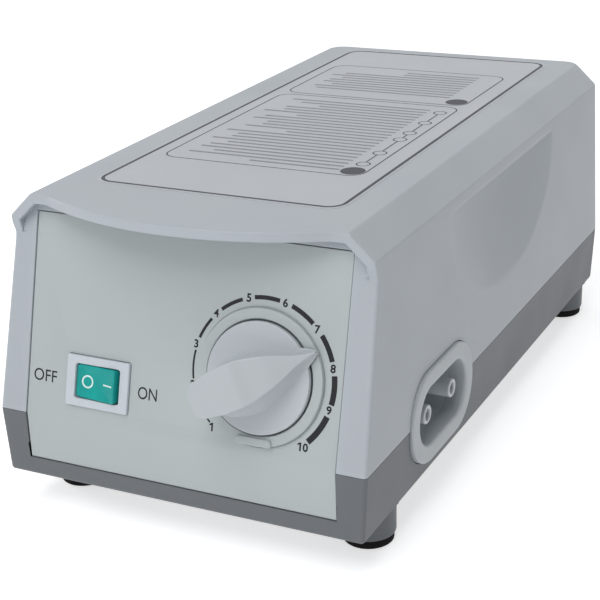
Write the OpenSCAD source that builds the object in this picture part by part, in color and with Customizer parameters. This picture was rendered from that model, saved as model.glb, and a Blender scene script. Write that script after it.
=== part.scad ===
// Air pump for an alternating pressure mattress.
// Front is -Y, top is +Z, and the air port is on the right, +X. Millimetres.

/* [Housing] */
// Width across both shells at the split line
body_w = 119.3; // [117:0.1:140]
// Length of the shells at the split line
body_l = 224.5; // [219:0.5:252]
// Height of the lower shell without its feet
lower_h = 20.3; // [19:0.1:25]
// Height of the upper shell
upper_h = 64; // [62:0.5:80]
// Wall thickness of both shells
wall = 2.5; // [2:0.1:3]
// Wall thickness behind and beside the front panel
front_wall = 5; // [4.5:0.1:7]
// Angle at which the front of the upper shell leans back
front_lean = 15.3; // [8:0.1:18]
// How far each side leans in from the split line to the chamfer
side_draft = 1.75; // [0.5:0.05:3]
// How far each side of the lower shell leans in towards its floor
lower_draft = 1.3; // [0.2:0.05:2]
// Width of the long edges' chamfer
chamfer_w = 7.5; // [5:0.1:9]
// Height of the long edges' chamfer
chamfer_h = 7.2; // [5:0.1:9]
// Radius of the upright corners at the rear
rear_corner_r = 6.5; // [5:0.5:12]
// Radius of the upright corners at the front
front_corner_r = 1.2; // [0.6:0.1:2]

/* [Hood] */
// Distance from the front of the split line back to the hood's corners
hood_corner_y = 12.6; // [11.5:0.1:14]
// How far the middle of the hood bulges in front of its corners
hood_bulge = 11.4; // [8:0.1:13]
// Width over which the hood bulges
hood_arc_w = 90; // [80:1:98]
// Thickness of the hood
hood_t = 3; // [2:0.1:3.5]
// Height of the hood's side lips below the chamfer
hood_lip_h = 5.6; // [3:0.1:7]

/* [Finger scoops] */
// Length of each scoop along its ledge
scoop_l = 98; // [70:1:110]
// Height of each scoop below its ledge
scoop_h = 33; // [24:1:36]
// Depth of each scoop at the middle of its ledge
scoop_depth = 6; // [3:0.5:6.5]
// Distance from the front to the middle of each scoop
scoop_y = 115; // [105:1:125]
// Distance from the top down to the scoops' ledge
scoop_drop = 11; // [10:0.5:14]

/* [Front panel] */
// Width of the shells beside the front panel, at the split line
panel_side = 9.35; // [8.35:0.05:11]
// Length of the panel up the leaning front
panel_up = 60; // [56:0.5:61]
// Length of the panel below the split line
panel_down = 14.5; // [10:0.5:16]
// Thickness of the front panel
panel_t = 2.2; // [1.8:0.1:2.6]
// How far the panel sits back from the shells' front
panel_inset = 0.4; // [0.2:0.1:0.8]
// Width of the seam round pieces that are let in
seam = 0.15; // [0.1:0.05:0.3]

/* [Top label] */
// Width of the top beside the label
label_side = 9.9; // [7:0.1:20]
// Distance from the label to the rear of the split line
label_rear = 8.9; // [7:0.1:40]
// Distance from the front of the split line to the label
label_y = 29; // [27:0.5:32]
// Thickness of the label film
label_t = 0.3; // [0.2:0.05:0.5]
// Corner radius of the label
label_r = 6; // [3:0.5:10]

/* [Dial and knob] */
// Distance from the panel's right side in to the middle of the dial
dial_side = 24.5; // [23.5:0.1:26]
// Distance from the split line up the panel to the dial
dial_up = 22.5; // [21.5:0.1:26]
// Outer radius of the raised ring round the knob
ring_r = 19.25; // [18.5:0.05:20.5]
// Height of the ring above the panel
ring_h = 1.2; // [0.8:0.1:1.4]
// Length of the oblong lug on the ring
lug_l = 11; // [8:0.5:13]
// Radius of the knob's disc
knob_r = 15.8; // [15.3:0.1:16.4]
// Gap between the disc and the ring
knob_gap = 0.4; // [0.3:0.05:0.8]
// Height of the grip's tail above the panel
knob_h = 15; // [13:0.5:18]
// Height of the grip's tip above the panel
tip_h = 3; // [2.6:0.1:4]
// Distance from the dial's middle to the grip's tip
tip_reach = 19.9; // [19:0.1:22]
// Half the grip's width near its tail
grip_half_w = 6.3; // [5.4:0.1:7]
// Pointer's angle, clockwise from straight up the panel
knob_rest = 60; // [-135:5:135]
// Radius of the regulator's spindle
spindle_r = 3; // [2.5:0.1:3.2]
// Radial clearance of every shaft that turns in a hole
running = 0.05; // [0.03:0.01:0.08]

/* [Rocker switch] */
// Distance from the panel's left side in to the middle of the switch
switch_side = 24.2; // [22:0.1:26]
// Distance from the split line up the panel to the switch
switch_up = 12.5; // [12:0.1:20]
// Width of the switch's bezel
bezel_w = 21; // [20:0.1:22]
// Height of the switch's bezel
bezel_l = 15; // [14.5:0.1:16]
// How far the bezel stands above the panel
bezel_h = 1; // [0.8:0.1:2.4]
// Width of the opening in the bezel
well_w = 15; // [14.8:0.1:15.6]
// Height of the opening in the bezel
well_l = 10.2; // [9.8:0.1:10.4]
// Depth of the switch's body behind the panel
switch_depth = 15; // [13:0.5:18]
// Half the angle between the rocker's two positions
rocker_half_angle = 8; // [6:0.5:9]

/* [Air port] */
// Distance from the front to the middle of the air port
port_y = 55.4; // [52:0.1:58]
// Height of the port's middle above the split line
port_lift = -1.3; // [-1.5:0.1:2]
// Length of the port's rim
port_l = 48.8; // [46:0.1:51]
// Height of the port's rim
port_h = 28.4; // [27.4:0.1:29]
// Length of the port's recess
recess_l = 37.4; // [35:0.1:38]
// Height of the port's recess
recess_h = 18.2; // [16.4:0.1:18.4]
// How far the rim stands out of the side
port_proud = 0.8; // [0.5:0.05:3]
// Depth of the recess from the rim's face
recess_depth = 17; // [15:0.5:18]
// Distance between the two air outlets
nozzle_pitch = 19.8; // [19:0.1:21]
// Outer radius of an air outlet
nozzle_r = 2.9; // [2.8:0.05:3.3]
// Radius of the hole in an air outlet
nozzle_bore_r = 1.85; // [1.2:0.05:2]
// Distance from the rim's face in to the outlets' tips
nozzle_back = 1.3; // [0.5:0.1:3]

/* [Feet] */
// Height of the round bosses under the floor
foot_boss_h = 9.85; // [8:0.05:14]
// Radius of the bosses
foot_boss_r = 8.2; // [7.8:0.1:8.8]
// Thickness of the rubber pads
pad_h = 2.8; // [1.5:0.1:3.5]
// Radius of the rubber pads
pad_r = 7.5; // [6.5:0.1:7.8]
// Distance from the side to the feet's middle
foot_side = 10.8; // [10.2:0.05:13]
// Distance from the front to the front feet's middle
foot_front = 24.6; // [22:0.1:26]
// Distance from the rear to the rear feet's middle
foot_rear = 12.7; // [11:0.1:13]

/* [Hangers] */
// Distance from the side in to each hanger's pin
hanger_in = 12.25; // [10:0.25:13.25]
// Gap between the ends of the two hangers when they are folded in
hanger_apart = 8; // [6:0.5:18]
// Height of the arm's middle above the split line
hanger_lift = 40; // [36:0.5:44]
// Height of a hanger's arm
hanger_h = 12; // [9:0.5:13]
// Thickness of a hanger's arm
hanger_t = 4; // [3:0.1:5]
// Length of a hanger's tip below its arm
hanger_tip = 24; // [16:0.5:26]
// Radius of the hangers' pins
hanger_pin_r = 2; // [1.5:0.1:2.2]

/* [Mains inlet] */
// Distance from the left side in to the middle of the inlet
inlet_in = 31.25; // [28:0.25:33]
// Height of the inlet's middle above the shell's floor
inlet_up = 7.6; // [7.2:0.1:8]
// Distance between the inlet's two pins
inlet_pitch = 8.6; // [8.4:0.1:8.8]
// Radius of the inlet's pins
inlet_pin_r = 1.2; // [1:0.05:1.4]
// Radius of the round ends of the inlet's recess
inlet_recess_r = 4.2; // [4:0.05:4.4]
// Depth of the inlet's recess
inlet_recess_d = 12; // [10:0.5:12.5]

/* [Screws] */
// Radius of the housing screws
screw_r = 1.5; // [1.3:0.05:1.7]
// Radius of the screws' heads
screw_head_r = 2.9; // [2.6:0.1:3]
// Distance from the side to the screws
screw_side = 9.25; // [9:0.05:10]
// Distance from the front to the front screws
screw_front = 9.4; // [9.2:0.1:9.6]
// Distance from the rear to the rear screws
screw_rear = 26; // [25:0.5:28]

/* [Drive] */
// Distance from the rear to the arms' pivots
pivot_rear = 45; // [44:0.5:47]
// Distance from a pump head's inner face in to its arm's pivot
pivot_in = 9; // [8:0.1:9]
// Distance from an arm's pivot forward to its magnet
arm_reach = 52; // [51:0.5:54]
// Distance from an arm's pivot forward to its diaphragm
head_reach = 31; // [30:0.5:32]
// Height of the drive's middle above the floor inside
drive_lift = 29.8; // [29.4:0.1:31]
// Gap between the core and each arm
core_gap = 3; // [3:0.1:4]
// Length of the laminated core
core_l = 30; // [28:0.5:31]
// Height of the laminated core
core_h = 20; // [18:0.5:21]
// Gap between the core and the magnets
drive_gap = 2; // [1.6:0.1:2.4]
// Outer radius of the pump heads
head_r = 18.5; // [17.5:0.1:18.8]
// Distance from the side in to the pump heads' inner face
head_in = 24.25; // [24.05:0.05:24.65]
// Thickness of a pump head
head_t = 10; // [9:0.1:10]
// Thickness of a valve cover
cover_t = 4; // [3.6:0.1:4.2]

/* [Rotary valve] */
// Distance from the left side in to the rotary valve's motor, with room for the wires
motor_side = 10.25; // [9.5:0.25:11]
// Gap between the rotary valve's motor and the pump's plate
motor_gap = 3; // [2:0.5:5]
// Radius of the timer motor
motor_r = 25; // [22:0.5:25]
// Height of the timer motor
motor_h = 14; // [12:0.5:15]
// Radius of the valve's body
valve_r = 20; // [18:0.5:21]
// Radius of the shaft that turns the valve
valve_shaft_r = 3.5; // [3:0.1:4]

/* [Hoses and wires] */
// Radius of the hose nipples
nipple_r = 2.2; // [1.9:0.05:2.4]
// Length of the hose nipples
nipple_l = 8; // [7:0.5:9]
// Wall thickness of the hoses
hose_wall = 1.2; // [0.8:0.1:1.4]
// Radius of a wire with its insulation
wire_r = 1; // [0.7:0.1:1.2]

/* [Hidden] */
$fn = 64;
LEFT = -1;
RIGHT = 1;

// Heights of the main planes
foot_h = foot_boss_h + pad_h;
floor_z = foot_h + wall;
split_z = foot_h + lower_h;
top_z = split_z + upper_h;
chamfer_z = top_z - chamfer_h;
half_w = body_w / 2;
top_half_w = half_w - side_draft - chamfer_w;
slice = 0.01;
cut = 1;
panel_w = body_w - 2 * panel_side;
dial_x = panel_w / 2 - dial_side;
switch_x = panel_w / 2 - switch_side;
label_w = 2 * (top_half_w - label_side);
label_l = body_l - label_y - label_rear;
hanger_x = half_w - hanger_in;
hanger_reach = hanger_x - hanger_apart / 2;
inlet_x = half_w - inlet_in;
head_x = half_w - head_in;
pivot_x = head_x - pivot_in;
valve_x = half_w - motor_side - motor_r;

// Half the width of the upper shell at a height
function side_x(z) = half_w - side_draft * (z - split_z) / (chamfer_z - split_z);
// Place of the leaning front at a height
function front_y(z) = (z - split_z) * tan(front_lean);
// Place of the rear wall at a height, which leans as the sides do
function rear_y(z) = body_l - side_draft * (z - split_z) / (chamfer_z - split_z);

// Points on a round corner
rear_steps = 8;
front_steps = 3;
function corner(x, y, r, from, steps) =
    [for (i = [0 : steps]) [x + r * cos(from + 90 * i / steps), y + r * sin(from + 90 * i / steps)]];
// Outline in plan of a shell, half_wide to each side, from y0 at the front to y1 at the rear
function plan(half_wide, y0, y1, rf, rr) = concat(
    corner(half_wide - rr, y1 - rr, rr, 0, rear_steps),
    corner(rr - half_wide, y1 - rr, rr, 90, rear_steps),
    corner(rf - half_wide, y0 + rf, rf, 180, front_steps),
    corner(half_wide - rf, y0 + rf, rf, 270, front_steps));

// Moves the model so that the middle of its base is the origin
port_face_x = half_w + port_proud;
mid_x = (port_face_x - half_w) / 2;
module placed() {
    translate([-mid_x, -mid_y, 0]) children();
}

// Puts its children on the leaning front: x across, y up the slope, z out of it
module on_front(x, up) {
    translate([0, 0, split_z]) rotate([90 - front_lean, 0, 0]) translate([x, up, 0]) children();
}

// A point of the leaning front's own frame, in the model's frame
function front_point(x, up, out) = [x, up * sin(front_lean) - out * cos(front_lean),
    split_z + up * cos(front_lean) + out * sin(front_lean)];

// Height at which the leaning and the upright front meet, at a distance out of both
function crease_z(out) = split_z + out * tan(front_lean / 2);

// Outline with round ends
module stadium(l, h) {
    straight = l - h;
    square([straight, h], center = true);
    for (s = [LEFT, RIGHT]) translate([s * straight / 2, 0]) circle(d = h);
}

// Unit vector along v
function unit(v) = v / norm(v);
// Point on a smooth curve between two straight ends
function bezier(a, b, c, d, t) =
    a * pow(1 - t, 3) + b * 3 * t * pow(1 - t, 2) + c * 3 * t * t * (1 - t) + d * pow(t, 3);
// Point on a smooth curve through b and c, with a before and d after
function through(a, b, c, d, t) =
    0.5 * ((2 * b) + (c - a) * t + (2 * a - 5 * b + 4 * c - d) * t * t
        + (3 * b - a - 3 * c + d) * pow(t, 3));
// Direction of a path at one of its points
function heading(path, i) = unit(path[min(i + 1, len(path) - 1)] - path[max(i - 1, 0)]);
// Ring of points round a path
function ring(path, i, r, sides) =
    let (t = heading(path, i), u = unit(cross(t, [0, 0.02, 1])), v = cross(u, t))
    [for (k = [0 : sides - 1]) path[i] + r * (cos(360 * k / sides) * u + sin(360 * k / sides) * v)];
function rings(path, r, sides) =
    [for (i = [0 : len(path) - 1]) for (p = ring(path, i, r, sides)) p];
// Triangles of the wall between two rings whose points start at a and b
function band(a, b, sides) = [for (k = [0 : sides - 1]) let (n = (k + 1) % sides)
    for (f = [[a + k, b + k, a + n], [a + n, b + k, b + n]]) f];

// Solid round bar along a path
module bar(path, r, sides) {
    last = (len(path) - 1) * sides;
    polyhedron(rings(path, r, sides), concat(
        [for (i = [0 : len(path) - 2]) for (f = band((i + 1) * sides, i * sides, sides)) f],
        [[for (k = [sides - 1 : -1 : 0]) k]],
        [[for (k = [0 : sides - 1]) last + k]]));
}

// Hollow tube along a path
module tube(path, r_out, r_in, sides) {
    count = len(path) * sides;
    last = (len(path) - 1) * sides;
    polyhedron(concat(rings(path, r_out, sides), rings(path, r_in, sides)), concat(
        [for (i = [0 : len(path) - 2]) for (f = band((i + 1) * sides, i * sides, sides)) f],
        [for (i = [0 : len(path) - 2])
            for (f = band(count + i * sides, count + (i + 1) * sides, sides)) f],
        band(0, count, sides),
        band(count + last, last, sides)));
}

// How much of a wall's thickness the corners' radius and the chamfer's edges lose on the inside
corner_loss = 0.8;
chamfer_loss = 0.4;

// Outer form of the upper shell, inset by a distance, with its front wall inset by another
module upper_form(inset, front_inset, below) {
    inner_low = chamfer_z - inset * chamfer_h / (chamfer_w + chamfer_h);
    inner_top = top_z - inset;
    rr = rear_corner_r - inset * corner_loss;
    hull() {
        translate([0, 0, split_z - below]) linear_extrude(slice) polygon(plan(half_w - inset,
            front_inset, body_l - inset, front_corner_r, rr));
        translate([0, 0, inner_low]) linear_extrude(slice) polygon(plan(side_x(chamfer_z) - inset,
            front_y(inner_low) + front_inset, rear_y(chamfer_z) - inset, front_corner_r, rr));
        translate([0, 0, inner_top - slice]) linear_extrude(slice) polygon(plan(
            top_half_w - inset * chamfer_loss, front_y(inner_top) + front_inset,
            rear_y(top_z) - inset, front_corner_r, rr));
    }
}

// Cross-section of the upper shell's outside, inset by a distance
module section(inset) {
    polygon([for (s = [LEFT, RIGHT], p = s == LEFT ? [0, 1, 2] : [2, 1, 0])
        p == 0 ? [s * (half_w - inset), split_z]
        : p == 1 ? [s * (side_x(chamfer_z) - inset), chamfer_z - inset * chamfer_loss]
        : [s * (top_half_w - inset * chamfer_loss), top_z - inset]]);
}

// Hood over the front panel: the shell's own section, carried forward
hood_r = (pow(hood_arc_w / 2, 2) + pow(hood_bulge, 2)) / (2 * hood_bulge);
hood_lip_z = chamfer_z - hood_lip_h;
hood_depth = 8;
hood_slope = 0.5;
module hood() {
    before = hood_corner_y - hood_bulge - cut;
    intersection() {
        translate([0, body_l / 2, 0]) rotate([90, 0, 0]) linear_extrude(body_l) difference() {
            section(0);
            section(hood_t);
        }
        union() {
            translate([0, hood_corner_y - hood_bulge + hood_r, hood_lip_z])
                cylinder(r = hood_r, h = upper_h, $fn = 200);
            translate([-half_w, hood_corner_y, hood_lip_z]) cube([body_w, body_l, upper_h]);
        }
        rotate([90, 0, 90]) translate([0, 0, -half_w]) linear_extrude(body_w) polygon([
            [front_y(hood_lip_z), hood_lip_z],
            [hood_corner_y - hood_slope, chamfer_z],
            [before, chamfer_z],
            [before, top_z + cut],
            [front_y(top_z) + hood_depth, top_z + cut],
            [front_y(hood_lip_z) + hood_depth, hood_lip_z]]);
    }
}

// Finger scoop on one side, or with grow the skin that backs it on the inside
scoop_z = top_z - scoop_drop;
scoop_r_along = (pow(scoop_l / 2, 2) + pow(scoop_depth, 2)) / (2 * scoop_depth);
scoop_r_down = (pow(scoop_h, 2) + pow(scoop_depth, 2)) / (2 * scoop_depth);
module scoop(side, grow) {
    lap = 4;
    r_in = scoop_r_down - scoop_depth - lap;
    mirror([side == LEFT ? 1 : 0, 0, 0]) intersection() {
        translate([side_x(scoop_z) - scoop_depth + scoop_r_down, scoop_y, scoop_z])
            rotate([90, 0, 0]) rotate_extrude($fn = 200) intersection() {
                translate([scoop_r_down - scoop_r_along, 0]) circle(scoop_r_along + grow, $fn = 200);
                translate([r_in, -scoop_l]) square([scoop_depth + grow + 2 * lap, 2 * scoop_l]);
            }
        translate([0, scoop_y - scoop_l, split_z])
            cube([half_w + lap, 2 * scoop_l, scoop_z + grow - split_z]);
    }
}

// Side view of the front panel and of its bed in the shells, grown by a seam
module panel_profile(out, in, seam_up, seam_down) {
    low = split_z - panel_down - seam_down;
    top_face = front_point(0, panel_up + seam_up, out);
    top_back = front_point(0, panel_up + seam_up, -in);
    polygon([
        [-out, low],
        [-out, crease_z(out)],
        [top_face[1], top_face[2]],
        [top_back[1], top_back[2]],
        [in, crease_z(-in)],
        [in, low]]);
}
module panel_bar(wide, out, in, seam_up, seam_down) {
    translate([-wide / 2, 0, 0]) rotate([90, 0, 90]) linear_extrude(wide)
        panel_profile(out, in, seam_up, seam_down);
}
panel_back = panel_inset + panel_t;
ledge_w = 4;
window_past = 3;
module panel_bed() {
    window_up = panel_up - 2 * ledge_w;
    through_y = front_wall + window_past;
    panel_bar(panel_w + 2 * seam, cut, panel_back, seam, seam);
    translate([-panel_w / 2 + ledge_w, 0, 0]) rotate([90, 0, 90])
        linear_extrude(panel_w - 2 * ledge_w) polygon([
            [0, split_z + ledge_w],
            [ledge_w * tan(front_lean) + window_up * sin(front_lean), split_z + window_up],
            [through_y + window_up * sin(front_lean), split_z + window_up],
            [through_y, split_z + ledge_w]]);
}

// Where the housing screws stand
function screw_place(side, rear) =
    [side * (half_w - screw_side), rear ? body_l - screw_rear : screw_front, 0];
screw_wall = 2.5;
screw_boss_r = screw_r + screw_wall;
screw_well = 4;
screw_seat_z = foot_h + screw_well;
screw_grip = 14;
boss_cap = 2;
rib_t = 1.6;

// Opening for the air port's rim through both shells
port_z = split_z + port_lift;
module port_hole() {
    translate([half_w - 2 * wall, port_y, port_z]) rotate([90, 0, 90])
        linear_extrude(4 * wall) stadium(port_l, port_h);
}

label_mid_y = label_y + label_l / 2;
module label_shape(thick) {
    translate([0, label_mid_y, top_z - label_t]) linear_extrude(thick)
        polygon(plan(label_w / 2, -label_l / 2, label_l / 2, label_r, label_r));
}

module upper_housing() {
    color([0.67, 0.69, 0.71]) placed() difference() {
        union() {
            difference() {
                upper_form(0, 0, 0);
                difference() {
                    upper_form(wall, front_wall, slice);
                    for (side = [LEFT, RIGHT]) scoop(side, wall);
                }
            }
            hood();
            for (side = [LEFT, RIGHT], rear = [false, true])
                translate(screw_place(side, rear)) translate([0, 0, split_z])
                    cylinder(r = screw_boss_r, h = screw_grip + boss_cap);
            for (side = [LEFT, RIGHT])
                translate(screw_place(side, true))
                    translate([side > 0 ? 0 : -screw_side + wall, -rib_t / 2, split_z])
                        cube([screw_side - wall, rib_t, screw_grip]);
        }
        for (side = [LEFT, RIGHT]) scoop(side, 0);
        panel_bed();
        port_hole();
        label_shape(label_t + cut);
        for (side = [LEFT, RIGHT], rear = [false, true])
            translate(screw_place(side, rear)) translate([0, 0, split_z - cut])
                cylinder(r = screw_r, h = screw_grip + cut);
        rear_bolts();
    }
}

// Outer form of the lower shell, inset by a distance
module lower_form(inset, front_inset, bottom) {
    rr = rear_corner_r - inset * corner_loss;
    hull() {
        translate([0, 0, bottom]) linear_extrude(slice) polygon(plan(half_w - lower_draft - inset,
            front_inset, body_l - inset, front_corner_r, rr));
        translate([0, 0, split_z - slice]) linear_extrude(slice + (inset > 0 ? cut : 0)) polygon(plan(
            half_w - inset, front_inset, body_l - inset, front_corner_r, rr));
    }
}

function foot_place(side, rear) = [side * (half_w - foot_side), rear ? body_l - foot_rear : foot_front, 0];
spigot_r = 2.5;
spigot_h = 4;
screw_play = 0.2;

inlet_z = floor_z + inlet_up;
inlet_body_w = 22;
inlet_body_h = 12;
board_post_h = 5;
board_post_r = 3;
board_post_in = 4;
motor_post_h = 2.3;
motor_post_r = 4;
motor_post_in = 6;
motor_post_a = 30;

module lower_housing() {
    color([0.42, 0.44, 0.46]) placed() difference() {
        union() {
            difference() {
                lower_form(0, 0, foot_h);
                lower_form(wall, front_wall, floor_z);
            }
            for (side = [LEFT, RIGHT], rear = [false, true]) {
                translate(foot_place(side, rear)) translate([0, 0, pad_h])
                    cylinder(r = foot_boss_r, h = foot_boss_h + wall);
                translate(screw_place(side, rear)) translate([0, 0, foot_h])
                    cylinder(r = screw_boss_r, h = lower_h);
                translate(isolator_place(side, rear)) translate([0, 0, foot_h])
                    cylinder(r = isolator_pin_r, h = plate_z - foot_h);
            }
            for (a = [motor_post_a, motor_post_a + 180])
                translate([-valve_x, valve_y, foot_h]) rotate([0, 0, a])
                    translate([motor_r - motor_post_in, 0, 0])
                        cylinder(r = motor_post_r, h = wall + motor_post_h);
            for (s = [LEFT, RIGHT])
                translate([board_x + s * (board_w / 2 - board_post_in), board_y, foot_h])
                    cylinder(r = board_post_r, h = wall + board_post_h);
        }
        for (side = [LEFT, RIGHT], rear = [false, true]) {
            translate(foot_place(side, rear)) translate([0, 0, pad_h - cut])
                cylinder(r = spigot_r, h = spigot_h + cut);
            translate(screw_place(side, rear)) translate([0, 0, foot_h - cut])
                cylinder(r = screw_head_r + screw_play, h = screw_well + cut);
            translate(screw_place(side, rear)) translate([0, 0, foot_h])
                cylinder(r = screw_r, h = lower_h + cut);
        }
        panel_bed();
        port_hole();
        translate([-inlet_x - inlet_body_w / 2, body_l - 2 * wall, inlet_z - inlet_body_h / 2])
            cube([inlet_body_w, 3 * wall, inlet_body_h]);
        vents();
    }
}

// Narrow slots in the floor through which the pump draws its air
vent_count = 7;
vent_l = 24;
vent_w = 1.6;
vent_pitch = 4;
vent_y = body_l / 2 + 3;
module vents() {
    for (i = [0 : vent_count - 1])
        translate([(i - (vent_count - 1) / 2) * vent_pitch - vent_w / 2, vent_y, foot_h - cut])
            cube([vent_w, vent_l, wall + 2 * cut]);
}

// Parts on the front panel
bezel_lap = 1;
window_w = bezel_w - 2 * bezel_lap;
window_l = bezel_l - 2 * bezel_lap;
ring_in_r = knob_r + knob_gap;
ring_root = 0.5;
lug_w = 2.4;
lug_h = 0.8;
bush_r = 5;
module front_panel() {
    color([0.69, 0.72, 0.72]) placed() difference() {
        union() {
            panel_bar(panel_w, -panel_inset, panel_back, 0, 0);
            on_front(dial_x, dial_up) translate([0, 0, -panel_back + ring_root])
                cylinder(r = ring_r, h = panel_t - ring_root + ring_h, $fn = 128);
            on_front(dial_x, dial_up - (ring_r + ring_in_r) / 2) translate([0, 0, -panel_inset])
                linear_extrude(ring_h + lug_h) stadium(lug_l, lug_w);
        }
        on_front(dial_x, dial_up) translate([0, 0, -panel_inset])
            cylinder(r = ring_in_r, h = ring_h + cut, $fn = 128);
        on_front(dial_x, dial_up) translate([0, 0, -panel_back - cut])
            cylinder(r = bush_r, h = panel_t + 2 * cut);
        on_front(-switch_x, switch_up) translate([0, 0, -panel_back - cut])
            linear_extrude(panel_t + 2 * cut)
            square([window_w, window_l], center = true);
    }
}

module top_label() {
    color([0.72, 0.74, 0.76]) placed() label_shape(label_t);
}

// Air port on the right side
cup_flange = 1;
cup_clear = 0.15;
bezel_past = lower_draft * (port_h / 2 + cup_flange - port_lift) / lower_h + cup_clear;
bezel_in_x = half_w - wall - bezel_past;
module port_bezel() {
    color([0.75, 0.77, 0.79]) placed() translate([bezel_in_x, port_y, port_z]) rotate([90, 0, 90])
        linear_extrude(port_face_x - bezel_in_x) difference() {
            stadium(port_l, port_h);
            stadium(recess_l, recess_h);
        }
}
cup_flange_t = 1.4;
cup_wall = 1.6;
cup_back = 2;
cup_floor_x = port_face_x - recess_depth;
function nozzle_y(s) = port_y + s * nozzle_pitch / 2;
nozzle_collar_r = nozzle_r + 0.25;
nozzle_collar_l = 3.5;
module port_cup() {
    color([0.34, 0.36, 0.38]) placed() difference() {
        translate([cup_floor_x - cup_back, port_y, port_z]) rotate([90, 0, 90]) {
            linear_extrude(bezel_in_x - cup_floor_x + cup_back)
                stadium(recess_l + 2 * cup_wall, recess_h + 2 * cup_wall);
            translate([0, 0, bezel_in_x - cup_floor_x + cup_back - cup_flange_t])
                linear_extrude(cup_flange_t)
                stadium(port_l + 2 * cup_flange, port_h + 2 * cup_flange);
        }
        translate([cup_floor_x, port_y, port_z]) rotate([90, 0, 90])
            linear_extrude(recess_depth) stadium(recess_l, recess_h);
        for (s = [LEFT, RIGHT]) translate([cup_floor_x - cup_back - cut, nozzle_y(s), port_z])
            rotate([0, 90, 0]) cylinder(r = nozzle_collar_r, h = cup_back + 2 * cut);
    }
}

// Air outlet: a straight spout in the recess and a hose nipple behind it
nozzle_tip_x = port_face_x - nozzle_back;
nozzle_seat = 2;
nozzle_seat_r = nozzle_r + 2;
nozzle_tail_x = cup_floor_x - cup_back - nozzle_seat - nipple_l;
nipple_wall = 0.9;
nipple_root = 1;
module nozzle(s) {
    color([0.36, 0.38, 0.4]) placed() translate([0, nozzle_y(s), port_z]) rotate([0, 90, 0]) difference() {
        union() {
            translate([0, 0, nozzle_tail_x]) cylinder(r = nipple_r, h = nipple_l + nozzle_seat);
            translate([0, 0, cup_floor_x - cup_back - nozzle_seat])
                cylinder(r = nozzle_seat_r, h = nozzle_seat);
            translate([0, 0, cup_floor_x - cup_back]) {
                cylinder(r = nozzle_collar_r, h = nozzle_collar_l);
                cylinder(r = nozzle_r, h = nozzle_tip_x - cup_floor_x + cup_back);
            }
        }
        translate([0, 0, cup_floor_x]) cylinder(r = nozzle_bore_r, h = recess_depth);
        translate([0, 0, nozzle_tail_x - cut]) cylinder(r = nipple_r - nipple_wall, h = recess_depth);
    }
}

module foot(side, rear) {
    color([0.14, 0.13, 0.13]) placed() translate(foot_place(side, rear)) {
        cylinder(r = pad_r, h = pad_h);
        cylinder(r = spigot_r, h = pad_h + spigot_h);
    }
}

screw_head_h = 2;
cross_w = 0.7;
cross_l = 3.4;
cross_d = 1.2;
screw_past = 2;
module housing_screws() {
    color([0.6, 0.6, 0.62]) placed() for (side = [LEFT, RIGHT], rear = [false, true])
        translate(screw_place(side, rear)) difference() {
            union() {
                translate([0, 0, screw_seat_z - screw_head_h]) cylinder(r = screw_head_r, h = screw_head_h);
                translate([0, 0, screw_seat_z - screw_head_h / 2])
                    cylinder(r = screw_r, h = split_z + screw_grip - screw_past - screw_seat_z);
            }
            for (a = [0, 90]) translate([0, 0, screw_seat_z - screw_head_h + cross_d / 3])
                rotate([0, 0, a]) cube([cross_w, cross_l, cross_d], center = true);
        }
}

// Hangers: flat hooks that swing out of the rear on upright pins
rear_lean = atan(side_draft / (chamfer_z - split_z));
bracket_t = 2;
bracket_w = 13;
barrel_wall = 2;
barrel_r = hanger_pin_r + barrel_wall;
barrel_gap = 0.4;
pin_out = bracket_t + barrel_r + barrel_gap;
ear_t = 3;
ear_gap = 0.3;
bracket_h = hanger_h + 2 * (ear_t + ear_gap);
ear_r = barrel_r + barrel_gap;
rear_reach = rear_y(split_z + hanger_lift) + (pin_out + ear_r) * cos(rear_lean)
    + bracket_h / 2 * sin(rear_lean);
module on_rear(side) {
    z = split_z + hanger_lift;
    translate([side * hanger_x, rear_y(z), z]) rotate([rear_lean, 0, 0]) children();
}
bolt_dx = 4;
bolt_deep = wall + 2;
bolt_lap = 0.5;
module rear_bolts() {
    for (side = [LEFT, RIGHT], s = [LEFT, RIGHT]) on_rear(side)
        translate([s * bolt_dx, cut, 0]) rotate([90, 0, 0]) cylinder(r = screw_r, h = bolt_deep + cut);
}
module hanger_bracket(side) {
    color([0.4, 0.42, 0.44]) placed() on_rear(side) difference() {
        union() {
            translate([-bracket_w / 2, 0, -bracket_h / 2]) cube([bracket_w, bracket_t, bracket_h]);
            for (s = [LEFT, RIGHT]) translate([0, 0, s * (bracket_h - ear_t) / 2]) {
                translate([0, pin_out, 0]) cylinder(r = ear_r, h = ear_t, center = true);
                translate([-ear_r, bracket_t / 2, -ear_t / 2])
                    cube([2 * ear_r, pin_out - bracket_t / 2, ear_t]);
            }
            for (s = [LEFT, RIGHT]) translate([s * bolt_dx, bolt_lap, 0]) rotate([90, 0, 0])
                cylinder(r = screw_r, h = bolt_deep);
        }
        translate([0, pin_out, 0]) cylinder(r = hanger_pin_r, h = bracket_h + 2 * cut, center = true);
    }
}
module hanger_pins() {
    color([0.7, 0.7, 0.72]) placed() for (side = [LEFT, RIGHT]) on_rear(side)
        translate([0, pin_out, 0]) cylinder(r = hanger_pin_r, h = bracket_h, center = true);
}
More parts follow.
